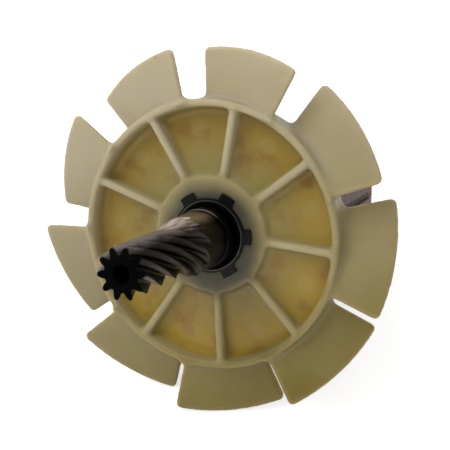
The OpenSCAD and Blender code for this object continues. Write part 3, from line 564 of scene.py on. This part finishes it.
# Shaft and pinion
shaftSet = {
    "teeth": 10,
    "tipRadius": 6.2,  # mm, as all lengths here
    "module": 0.9,
    "lead": 71.5,
    "profileShift": 0.4,
    "pressureAngle": 20,
    "hobRadius": 16,
    "tipRound": 0.16,  # left on the tooth tips by deburring
    "toothPhase": 0.3,  # degrees
    "slimmer": 0.014,  # radians off each half tooth, as ground
    "top": 43.0,
    "topChamfer": 0.5,
    "shoulderTop": 17.5,
    "shoulderFoot": 13.5,
    "journalTop": 11.0,
    "journalCut": 7.45,
    "rowStep": 0.22,
    "turned": [
        (11.1, 7.45), (10.9, 7.49), (10.6, 7.5), (2.5, 7.5), (2.5, 7.8), (2.2, 8.1), (-1, 8.1),
        (-1, 7.5), (-4.3, 7.5), (-4.3, 8.1), (-11.7, 8.1), (-11.7, 7), (-107.7, 7), (-107.7, 6),
        (-141, 6), (-141.5, 5.5), (-141.5, 4.5), (-152, 4.5), (-152.5, 4),
    ],  # height and radius of each turned step
    "sinkRadius": 2.15,
    "holeRadius": 1.6,
    "holeDepth": 6.0,
    "drillPoint": 0.7,
    "sharpFrom": 28,  # degrees between faces that stay a crisp edge
}


def involute(angle):
    return math.tan(angle) - angle


def toothOutline(s):
    # one tooth as angle and radius: root arc, involute flank, rounded tip corner, tip land, and back
    helix = math.asin(min(0.9, math.pi * s["teeth"] * s["module"] / s["lead"]))
    pitchR = s["teeth"] * s["module"] / math.cos(helix) / 2
    rootR = pitchR - (1.25 - s["profileShift"]) * s["module"]
    pressure = math.radians(s["pressureAngle"])
    transverse = math.atan(math.tan(pressure) / math.cos(helix))
    baseR = pitchR * math.cos(transverse)
    middle = (math.pi / 2 + 2 * s["profileShift"] * math.tan(pressure)) / s["teeth"] - s["slimmer"]

    def halfAngle(r):
        return middle + involute(transverse) - (involute(math.acos(baseR / r)) if r > baseR else 0)

    cut = s["tipRound"]
    flankR = np.linspace(baseR + 0.02, s["tipRadius"] - cut, 8)
    flankA = np.array([halfAngle(r) for r in flankR])
    turn = np.linspace(0.25, 1.0, 4) * math.pi / 2
    cornerR = s["tipRadius"] - cut + cut * np.sin(turn)
    landCut = flankA[-1] - halfAngle(s["tipRadius"]) + 0.6 * cut / s["tipRadius"]
    cornerA = flankA[-1] - landCut * (1 - np.cos(turn))
    half = math.pi / s["teeth"]
    rootA = np.array([half, half * 0.9, half * 0.8, (half * 0.8 + flankA[0]) / 2])
    rootRs = np.array([rootR, rootR, rootR + 0.04, rootR + 0.2])
    angles = np.concatenate([-rootA, -flankA, -cornerA, cornerA[::-1], flankA[::-1], rootA[:0:-1]])
    radii = np.concatenate([rootRs, flankR, cornerR, cornerR[::-1], flankR[::-1], rootRs[:0:-1]])
    return angles, radii, rootR


def makeShaft(s):
    # radius = the smaller of the turned blank and the tooth outline lifted by the hob's run-out;
    # angle = tooth outline turned in proportion to height, so each tooth winds round the shaft
    angles, radii, rootR = toothOutline(s)
    pitch = 2 * math.pi / s["teeth"]
    around = (np.arange(s["teeth"])[:, None] * pitch + angles[None, :]).ravel()
    outline = np.tile(radii, s["teeth"])
    rise = s["journalCut"] - rootR
    foot = s["journalTop"] + 0.3
    runTop = foot + math.sqrt(s["hobRadius"] ** 2 - (s["hobRadius"] - rise) ** 2)

    def lift(z):
        below = runTop - max(z, foot)
        return s["hobRadius"] - math.sqrt(s["hobRadius"] ** 2 - below ** 2) if below > 0 else 0.0

    def blank(z):
        if z > s["top"] - s["topChamfer"]:
            return s["tipRadius"] - (z - s["top"] + s["topChamfer"]) * 0.6
        share = (s["shoulderTop"] - z) / (s["shoulderTop"] - s["shoulderFoot"])
        share = min(max(share, 0), 1)
        smooth = share * share * (3 - 2 * share)
        return s["tipRadius"] + (s["journalCut"] - s["tipRadius"]) * smooth

    sinkDepth = (s["sinkRadius"] - s["holeRadius"]) / math.tan(math.radians(30))
    low = s["turned"][-1][0]
    toothZ = np.concatenate([
        [s["top"], s["top"] - s["topChamfer"] / 2],
        np.arange(s["top"] - s["topChamfer"], foot, -s["rowStep"]), [foot],
    ])
    rows = [(s["holeRadius"], s["top"] - s["holeDepth"], False),
            (s["holeRadius"], s["top"] - sinkDepth, False),
            (s["sinkRadius"], s["top"], False), (s["sinkRadius"] + 0.12, s["top"], False)]
    rows += [(blank(z), z, True) for z in toothZ]
    rows += [(r, z, False) for z, r in s["turned"]]
    rows += [(s["sinkRadius"], low, False), (s["holeRadius"], low + sinkDepth, False),
             (s["holeRadius"], low + s["holeDepth"], False)]
    grid = []
    for limit, z, toothed in rows:
        twist = math.radians(s["toothPhase"] + (min(max(z, foot), s["top"]) - s["top"]) * 360 / s["lead"])
        r = np.minimum(limit, outline + lift(z)) if toothed else np.full(len(outline), limit)
        a = around + twist
        grid.append(np.stack([r * np.cos(a), r * np.sin(a), np.full(len(a), z)], axis=1))
    columns = len(around)
    # the drilled holes end in blunt points
    drillTip = s["holeDepth"] + s["drillPoint"]
    points = np.concatenate(grid + [[[0, 0, s["top"] - drillTip], [0, 0, low + drillTip]]])
    faces = gridFaces(len(grid), columns)[:, ::-1]
    j = np.arange(columns)
    beside = (j + 1) % columns
    end = (len(grid) - 1) * columns
    capOne = np.stack([np.full(columns, len(points) - 2), j, beside], axis=1)
    capTwo = np.stack([np.full(columns, len(points) - 1), end + beside, end + j], axis=1)
    return makeSurface("shaft_surface", points, list(faces) + list(capOne) + list(capTwo),
                       finishes["shaft_steel"], ["shaft"], s["sharpFrom"])


makeShaft(shaftSet)
print("shaft made")

# Fan: a body turned round the axis with ribs raised on it, and nine pitched blades
fanSet = {
    "blades": nylonSet["pockets"],
    "phase": -nylonSet["pocketTurn"],  # degrees, of the ribs and blades
    "outerRadius": 50.1,  # mm, as all lengths here; softening takes the last tenth back
    "rimRadius": 36.6,
    "rimInner": 34.6,
    "hubRadius": 16.4,
    "hubFront": -3.7,
    "floorFront": -5.7,
    "floorBack": -7.7,
    "rimBack": -9.8,
    "hubBack": -11.05,
    "innerRadius": 9.2,  # hidden inside the insert's wall
    "ribHalf": 1.1,
    "ribTopRound": 1.0,
    "ribFootRound": 1.3,
    "ribAtRim": -0.55,
    "ribBlend": 0.9,  # how softly a rib runs into the hub and the rim
    "pitch": 19.0,
    "span": 34.3,
    "thick": 1.9,
    "middleDepth": 4.8,
    "corner": 1.5,
    "rootFillet": 1.4,
    "edgeRound": 0.75,
    "frontPoints": 52,  # of the profile, from the insert to the top of the rim's lip
    "skinStep": 0.54,  # as fine as keeps the moulding under 200,000 triangles
    "softSteps": 6,
}


def cornerArc(x, z, r, start, stop, steps):
    # points of a rounded corner between two angles
    a = np.radians(np.linspace(start, stop, steps))
    return np.stack([x + r * np.cos(a), z + r * np.sin(a)], axis=1)


def fanProfile(s):
    # closed outline of the body, from the hub's front outwards over the rim and back along the rear
    hub, rim, inner = s["hubRadius"], s["rimRadius"], s["rimInner"]
    front, floor, lip = s["hubFront"], s["floorFront"], (s["rimRadius"] - s["rimInner"]) / 2
    rearHub = hub - 1
    return np.concatenate([
        [[s["innerRadius"], front], [11, front], [12.5, front], [14, front]],
        cornerArc(hub - 1, front - 1, 1.0, 90, 10, 7),
        cornerArc(hub + 1, floor + 1, 1.0, 172, 270, 7),
        [[r, floor] for r in np.linspace(hub + 1.8, inner - 2.6, 16)],
        cornerArc(inner - 2.0, floor + 1.8, 1.8, 270, 352, 8),
        [[inner - 0.14, -3.0], [inner - 0.08, -2.2], [inner - 0.02, -1.4]],
        cornerArc(inner + lip, -lip, lip, 180, 0, 14),
        [[rim, -2.5], [rim, -4.5], [rim, -6.5], [rim, s["rimBack"] + 0.5]],
        cornerArc(rim - 0.5, s["rimBack"] + 0.5, 0.5, -15, -90, 5),
        cornerArc(inner + 0.3, s["rimBack"] + 0.4, 0.4, -90, -180, 4),
        cornerArc(inner - 1.3, s["floorBack"] - 1.0, 1.0, 0, 90, 6),
        [[r, s["floorBack"]] for r in np.linspace(inner - 3, rearHub + 2.5, 9)],
        cornerArc(rearHub + 1.2, s["floorBack"] - 1.0, 1.0, 90, 180, 6),
        cornerArc(rearHub - 0.8, s["hubBack"] + 0.8, 0.8, 0, -90, 6),
        [[12.5, s["hubBack"]], [s["innerRadius"], s["hubBack"]], [s["innerRadius"], -7.0]],
    ])


def makeFanBody(s):
    # height = turned profile, raised where a rib passes: across a rib a round top, a steep side and a
    # hollow foot; along it the top climbs in a straight line from the hub's front to the rim
    profile = fanProfile(s)
    isFront = np.arange(len(profile)) < s["frontPoints"]
    half, topR, footR = s["ribHalf"], s["ribTopRound"], s["ribFootRound"]
    topY = np.array([0, 0.35, 0.6, 0.8, 0.95, 1.05, 1.1]) / 1.1 * half
    footY = half + 0.06 + np.array([0, 0.08, 0.22, 0.45, 0.75, 1.05, 1.3]) / 1.3 * footR
    dropped = topR - np.sqrt(np.maximum(topR ** 2 - np.maximum(topY - (half - topR), 0) ** 2, 0))
    raised = footR - np.sqrt(np.maximum(footR ** 2 - (footY[-1] - footY) ** 2, 0))
    offsets = np.concatenate([topY, footY])
    drop = np.concatenate([dropped, np.zeros(len(footY))])
    lift = np.concatenate([np.zeros(len(topY)), raised])
    onTop = np.concatenate([np.ones(len(topY)), np.zeros(len(footY))])
    between = np.linspace(0, 1, 9)[1:]
    r, z = profile[:, 0][:, None], profile[:, 1][:, None]
    nearA = np.arcsin(np.minimum(offsets[None, :] / r, 0.95))
    sector = math.pi / s["blades"]
    farA = nearA[:, -1:] + (sector - nearA[:, -1:]) * between[None, :]
    outward = (r - s["hubRadius"]) / (s["rimInner"] - s["hubRadius"])
    ribTop = s["hubFront"] + (s["ribAtRim"] - s["hubFront"]) * outward
    over = ribTop - z
    shown = isFront[:, None] & (r > s["hubRadius"] - 1.4)
    rise = np.where(shown, (over + np.sqrt(over ** 2 + s["ribBlend"] ** 2)) / 2, 0)
    fadeIn = np.clip((r - s["hubRadius"] + 1.4) / 1.4, 0, 1)
    rise = rise * fadeIn * fadeIn * (3 - 2 * fadeIn)
    share = np.clip(rise / (topR + footR + 0.1), 0, 1)
    nearZ = z + np.where(onTop > 0, np.maximum(rise - drop * share, 0), lift * share)
    farZ = np.repeat(z, len(between), axis=1)
    angle = np.concatenate([nearA, farA], axis=1)
    height = np.concatenate([nearZ, farZ], axis=1)
    angle = np.concatenate([-angle[:, :0:-1], angle[:, :-1]], axis=1)
    height = np.concatenate([height[:, :0:-1], height[:, :-1]], axis=1)
    turns = math.radians(s["phase"]) + np.arange(s["blades"]) * 2 * sector
    full = (turns[None, :, None] + angle[:, None, :]).reshape(len(profile), -1)
    tall = np.tile(height, (1, s["blades"]))
    points = np.stack([r * np.cos(full), r * np.sin(full), tall], axis=-1).reshape(-1, 3)
    return points, gridFaces(len(profile), full.shape[1], wrapRows=True)


def makeFanBlades(s):
    # rows are arcs round the shaft from inside the rim to the tip; a row's section is a flat bar with
    # round edges, wider and thicker near the rim by a fillet, and closing in a half circle at the tip
    pitch, outer, rim = math.radians(s["pitch"]), s["outerRadius"], s["rimRadius"]
    side = math.atan(math.tan(math.radians(s["span"] / 2)) / math.cos(pitch))
    edge, fillet, corner = s["edgeRound"], s["rootFillet"], s["corner"]
    rowR = np.concatenate([
        [rim - 1], rim + fillet * (1 - np.cos(np.linspace(0, math.pi / 2, 7))),
        np.linspace(rim + fillet + 1, outer - corner - 0.4, 8),
        outer - corner + corner * np.sin(np.linspace(0, math.pi / 2, 12)),
    ])
    reachY = rowR / math.sqrt(1 / math.tan(side) ** 2 + math.cos(pitch) ** 2)
    intoRim = np.clip(rim + fillet - rowR, 0, fillet)
    flare = fillet - np.sqrt(np.maximum(fillet ** 2 - intoRim ** 2, 0))
    intoTip = np.clip(rowR - outer + corner, 0, corner * 0.9999)
    halfY = reachY + flare - (corner - np.sqrt(corner ** 2 - intoTip ** 2))
    intoEdge = np.clip(rowR - outer + edge, 0, edge * 0.9995)
    shrink = np.sqrt(1 - (intoEdge / edge) ** 2)
    halfT = (s["thick"] / 2 + flare * 0.9) * shrink
    # section: across the front, round the edge, back across the rear
    steps, turnSteps = 18, 6
    e = np.minimum(edge, halfT)[:, None]
    flatY = np.linspace(-1, 1, steps)[None, :] * (halfY[:, None] - e)
    turn = np.linspace(math.pi / 2, 0, turnSteps)[None, :]
    rightY = halfY[:, None] - e + e * np.cos(turn)
    rightT = halfT[:, None] - e + e * np.sin(turn)
    y = np.concatenate([flatY, rightY[:, 1:], rightY[:, ::-1][:, :-1],
                        flatY[:, ::-1], -rightY[:, 1:], -rightY[:, ::-1][:, :-1]], axis=1)
    flatT = np.repeat(halfT[:, None], steps, 1)
    t = np.concatenate([flatT, rightT[:, 1:], -rightT[:, ::-1][:, :-1],
                        -flatT, -rightT[:, 1:], rightT[:, ::-1][:, :-1]], axis=1)
    x = np.sqrt(np.maximum(rowR[:, None] ** 2 - (y * math.cos(pitch)) ** 2, 1))
    own = np.stack([x, y * math.cos(pitch) + t * math.sin(pitch),
                    -s["middleDepth"] - y * math.sin(pitch) + t * math.cos(pitch)], axis=-1)
    rows, columns = y.shape
    faces = gridFaces(rows, columns)
    # both ends are zipped shut between the front and the rear
    strip = np.arange(steps - 1)
    rear = steps + 2 * (turnSteps - 1) + (steps - 1 - strip)
    zipTip = np.stack([strip, strip + 1, rear - 1, rear], axis=1)
    rightEnd = [steps - 1 + q for q in range(2 * (turnSteps - 1) + 2)]
    leftEnd = [2 * steps + 2 * (turnSteps - 1) - 1 + q for q in range(2 * (turnSteps - 1) + 1)] + [0]
    points, allFaces = [], []
    for i in range(s["blades"]):
        a = math.radians(s["phase"]) + i * 2 * math.pi / s["blades"]
        spin = np.array([[math.cos(a), -math.sin(a), 0], [math.sin(a), math.cos(a), 0], [0, 0, 1]])
        base = i * rows * columns
        top = base + (rows - 1) * columns
        points.append(own.reshape(-1, 3) @ spin.T)
        allFaces += (faces + base)[:, ::-1].tolist()
        allFaces += (zipTip[:, ::-1] + top).tolist() + (zipTip + base).tolist()
        allFaces += [[top + q for q in rightEnd[::-1]], [top + q for q in leftEnd[::-1]]]
        allFaces += [[base + q for q in rightEnd], [base + q for q in leftEnd]]
    return np.concatenate(points), allFaces


def makeFan(s):
    bodyPoints, bodyFaces = makeFanBody(s)
    bladePoints, bladeFaces = makeFanBlades(s)
    shifted = [[q + len(bodyPoints) for q in f] for f in bladeFaces]
    piece = makeSurface("fan_surface", np.concatenate([bodyPoints, bladePoints]),
                        bodyFaces.tolist() + shifted, finishes["fan_nylon"], ["fan"])
    # body and blades are grown together into one skin, and its creases are softened as moulded ones are
    skin = piece.modifiers.new("skin", "REMESH")
    skin.mode = "VOXEL"
    skin.voxel_size = s["skinStep"] * mm
    skin.use_smooth_shade = True
    soft = piece.modifiers.new("soft", "SMOOTH")
    soft.factor = 0.5
    soft.iterations = s["softSteps"]
    return piece


makeFan(fanSet)
print("fan made")

# Winding: bundles of wire along the coils, leads to the risers, and the cord over them
coilSet = {
    "coils": 12,
    "halfThrow": 75.0,  # degrees from a slot to the middle of the end turn
    "upper": (22.22, 5.47, 4.24),  # distance from the axis, width and height of the bundle, mm
    "lower": (17.92, 3.16, 4.24),
    "upperTurn": (22.22, 4.1, 3.74),
    "lowerTurn": (17.92, 3.88, 3.74),
    "nose": (20.07, 3.7, 3.44),
    "frontExit": -29.0,
    "rearExit": -90.0,
    "bend": 1.5,
    "reach": 13.5,
    "across": 5,
    "layers": 4,
    "wireRadius": 0.4,
    "sides": 6,
    "wander": 0.05,
    "rows": 92,
    "fineSteps": 720,  # points that the path is smoothed over
    "meanReach": 7,  # of them to each side in the running mean
    "leadRadius": 0.7,
    "leadSides": 12,
    "leadLine": 18.2,
    "leadBend": -105.83,
    "leadEnd": -112.8,
    "barAngle": 15.0,
}
cordSet = {
    "ringRadius": 19.45, "first": -108.75, "step": 0.935, "rings": 3, "cordRadius": 0.55,
    "lay": 3.0,  # mm along the cord for a ply's turn
    "rows": 300, "columns": 15,
}


def tubes(lines, outwards, radius, sides):
    # round wires: each point of a line gives a ring square to the line; lines are (wires, points, 3)
    ahead = np.roll(lines, -1, axis=1) - np.roll(lines, 1, axis=1)
    ahead /= np.linalg.norm(ahead, axis=2, keepdims=True)
    side = np.cross(ahead, outwards)
    side /= np.linalg.norm(side, axis=2, keepdims=True)
    up = np.cross(side, ahead)
    a = np.arange(sides) * 2 * math.pi / sides
    ring = side[:, :, None, :] * np.cos(a)[:, None] + up[:, :, None, :] * np.sin(a)[:, None]
    return lines[:, :, None, :] + ring * radius


def coilPath(s):
    # one closed turn as angle, height, radius, width and height of bundle, smoothed between its corners
    half, bend, reach = s["halfThrow"], s["bend"], s["reach"]

    def halfTurn(slotSize, legSize):
        out = [(0.0, 0.0) + slotSize]
        out += [(half * f, bend + reach * f) + legSize for f in (0.02, 0.2, 0.4, 0.6, 0.8)]
        mean = tuple((a + b) / 2 for a, b in zip(legSize, s["nose"]))
        return out + [(half * 0.93, bend + reach * 0.92) + mean]

    up = halfTurn(s["upper"], s["upperTurn"])
    down = halfTurn(s["lower"], s["lowerTurn"])
    turn = up + [(half, bend + reach * 0.96) + s["nose"]]
    turn += [(2 * half - p[0],) + p[1:] for p in down[::-1]]
    turn = np.array(turn)
    rear = turn.copy()
    rear[:, 1] = s["rearExit"] - turn[:, 1]
    front = turn[::-1].copy()
    front[:, 1] = s["frontExit"] + front[:, 1]
    corners = np.concatenate([rear, front])
    # a row count in proportion to length, with rounded corners by a short running mean
    flat = np.stack([corners[:, 2] * np.radians(corners[:, 0]), corners[:, 1]], axis=1)
    closed = np.concatenate([flat, flat[:1]])
    length = np.concatenate([[0], np.cumsum(np.linalg.norm(np.diff(closed, axis=0), axis=1))])
    count = s["fineSteps"]
    fine = np.linspace(0, length[-1], count + 1)[:-1]
    table = np.concatenate([corners, corners[:1]])
    path = np.stack([np.interp(fine, length, table[:, c]) for c in range(5)], axis=1)
    spread = range(-s["meanReach"], s["meanReach"] + 1)
    path = sum(np.roll(path, k, axis=0) for k in spread) / len(spread)
    # rows are dense on the end turns and sparse inside the slots
    inSlot = (path[:, 1] > s["rearExit"] + 2) & (path[:, 1] < s["frontExit"] - 2)
    weight = np.where(inSlot, 0.12, 1.0)
    total = np.concatenate([[0], np.cumsum(weight)])
    number = np.arange(count + 1)
    pick = np.interp(np.linspace(0, total[-1], s["rows"] + 1)[:-1], total, number)
    closed = np.concatenate([path, path[:1]])
    return np.stack([np.interp(pick, number, closed[:, c]) for c in range(5)], axis=1)


def makeCoil(s, i, path):
    # wires keep their place across the bundle while its width and height change, wandering a little
    rows = len(path)
    u = (np.arange(s["across"]) + 0.5) / s["across"] * 2 - 1
    v = (np.arange(s["layers"]) + 0.5) / s["layers"] * 2 - 1
    gu, gv = [g.ravel()[:, None] for g in np.meshgrid(u, v)]
    angle = np.radians(path[:, 0] + i * 360 / s["coils"])
    out = np.stack([np.cos(angle), np.sin(angle), np.zeros(rows)], axis=1)
    middle = np.stack([path[:, 2] * np.cos(angle), path[:, 2] * np.sin(angle), path[:, 1]], axis=1)
    run = np.roll(middle, -1, axis=0) - np.roll(middle, 1, axis=0)
    run -= out * np.sum(run * out, axis=1, keepdims=True)
    run /= np.linalg.norm(run, axis=1, keepdims=True)
    across = np.cross(run, out)
    step = np.arange(rows)[None, :] * 2 * math.pi / rows
    number = np.arange(len(gu))[:, None]
    sway = s["wander"] * np.sin(step * (2 + number % 4) + number * 1.7 + i)
    halfW = path[:, 3] / 2 - s["wireRadius"] * 0.9 - s["wander"]
    halfH = path[:, 4] / 2 - s["wireRadius"] * 0.9 - s["wander"]
    scaleU, scaleV = s["across"] / (s["across"] - 1), s["layers"] / (s["layers"] - 1)
    # the bundle's outer corners are rounded off
    pull = np.where((np.abs(gu) > 0.7) & (np.abs(gv) > 0.7), 0.87, 1.0)
    lines = (middle[None] + across[None] * (gu * scaleU * pull * halfW[None] + sway)[..., None]
             + out[None] * (gv * scaleV * pull * halfH[None] + sway * 0.6)[..., None])
    rings = tubes(lines, np.broadcast_to(out[None], lines.shape), s["wireRadius"], s["sides"])
    points = [rings.reshape(-1, 3)]
    perWire = rows * s["sides"]
    faces = [gridFaces(rows, s["sides"], wrapRows=True, first=k * perWire) for k in range(len(gu))]
    first, sides = len(gu) * perWire, s["leadSides"]
    # two leads run back along the shaft to their risers, bending once
    for turnSide, startR in ((-0.5, s["upperTurn"][0]), (0.5, s["lowerTurn"][0])):
        a = math.radians(s["halfThrow"] + turnSide * s["barAngle"] + i * 360 / s["coils"])
        start = (startR, s["rearExit"] - s["bend"] - s["reach"] * 0.86)
        corner, stop = (s["leadLine"], s["leadBend"]), (s["leadLine"], s["leadEnd"])
        f = np.linspace(0, 1, 8)[:, None]
        bent = np.array(corner) + np.array([[(start[0] - corner[0]) * 0.3, (start[1] - corner[1]) * 0.3]])
        past = np.array(corner) + np.array([[0, -1.0]])
        curve = (1 - f) ** 2 * bent + 2 * f * (1 - f) * np.array(corner) + f ** 2 * past
        line = np.concatenate([[start], curve, [stop]])
        way = np.gradient(line, axis=0)
        way /= np.linalg.norm(way, axis=1, keepdims=True)
        b = np.arange(sides) * 2 * math.pi / sides
        r = line[:, 0:1] + s["leadRadius"] * np.cos(b) * -way[:, 1:2]
        z = line[:, 1:2] + s["leadRadius"] * np.cos(b) * way[:, 0:1]
        off = np.broadcast_to(s["leadRadius"] * np.sin(b), r.shape)
        ring = np.stack([r * math.cos(a) - off * math.sin(a),
                         r * math.sin(a) + off * math.cos(a), z], axis=-1)
        points.append(ring.reshape(-1, 3))
        faces.append(gridFaces(len(line), sides, first=first))
        last = first + (len(line) - 1) * sides
        faces.append([list(range(first, first + sides))[::-1], list(range(last, last + sides))])
        first = last + sides
    # rings run clockwise seen along the wire, so each face is turned to look outwards
    allFaces = [list(corners)[::-1] for part in faces for corners in part]
    return makeSurface("wires_%02d" % (i + 1), np.concatenate(points), allFaces, finishes["winding"],
                       ["coil_%02d" % (i + 1)])


path = coilPath(coilSet)
for i in range(coilSet["coils"]):
    makeCoil(coilSet, i, path)
print("coils wound")


def makeBinding(s):
    # a round cord of three plies laid together, so its outline bulges three times and winds along it
    rows, columns = s["rows"], s["columns"]
    a = np.arange(rows)[:, None] * 2 * math.pi / rows
    b = np.arange(columns)[None, :] * 2 * math.pi / columns
    turns = round(2 * math.pi * s["ringRadius"] / s["lay"])
    r = s["cordRadius"] * (0.8 + 0.2 * np.abs(np.cos(1.5 * (b - a * turns / 1.5))))
    out = s["ringRadius"] + r * np.cos(b)
    points, faces = [], []
    for k in range(s["rings"]):
        z = s["first"] + k * s["step"] + r * np.sin(b)
        points.append(np.stack([out * np.cos(a), out * np.sin(a), z], axis=-1).reshape(-1, 3))
        faces += gridFaces(rows, columns, wrapRows=True, first=k * rows * columns)[:, ::-1].tolist()
    return makeSurface("binding_cord", np.concatenate(points), faces, finishes["cord"],
                       ["lead_binding"])


makeBinding(cordSet)
print("binding made")

# Plain parts with their edges broken: a copy of each, with a bevel this wide in mm
brokenEdges = {
    "commutator_bars": ([n for n in nodes if n.startswith("commutator_bar_")], 0.14),
    "insert_edges": (["fan_insert"], 0.15),
    "moulding_edges": (["commutator_moulding"], 0.2),
    "bush_edges": (["commutator_bush"], 0.2),
}


def breakEdges(name, names, width):
    vertices, faces, first = [], [], 0
    for nodeName in names:
        mesh = nodes[nodeName].data
        place = np.array(nodes[nodeName].matrix_world)
        flat = np.empty(len(mesh.vertices) * 3)
        mesh.vertices.foreach_get("co", flat)
        flat = flat.reshape(-1, 3) @ place[:3, :3].T + place[:3, 3]
        # corners that share a place are made one
        near, index = np.unique(np.round(flat / 2e-6).astype(np.int64), axis=0, return_inverse=True)
        index = index.ravel()
        merged = np.zeros((len(near), 3))
        merged[index] = flat
        for polygon in mesh.polygons:
            corners = [int(index[v]) + first for v in polygon.vertices]
            if len(set(corners)) > 2:
                faces.append(corners)
        vertices.append(merged)
        first += len(merged)
    mesh = bpy.data.meshes.new(name)
    mesh.from_pydata(np.concatenate(vertices).tolist(), [], faces)
    mesh.polygons.foreach_set("use_smooth", np.ones(len(mesh.polygons), bool))
    mesh.set_sharp_from_angle(angle=math.radians(30))
    mesh.materials.append(finishes[slotOf[names[0]]])
    piece = bpy.data.objects.new(name, mesh)
    scene.collection.objects.link(piece)
    bevel = piece.modifiers.new("edges", "BEVEL")
    bevel.width = width * mm
    bevel.segments = 2
    bevel.limit_method = "ANGLE"
    bevel.angle_limit = math.radians(35)
    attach(piece, "root")
    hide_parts(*names)
    return piece


for name, (names, width) in brokenEdges.items():
    breakEdges(name, names, width)
print("edges broken")
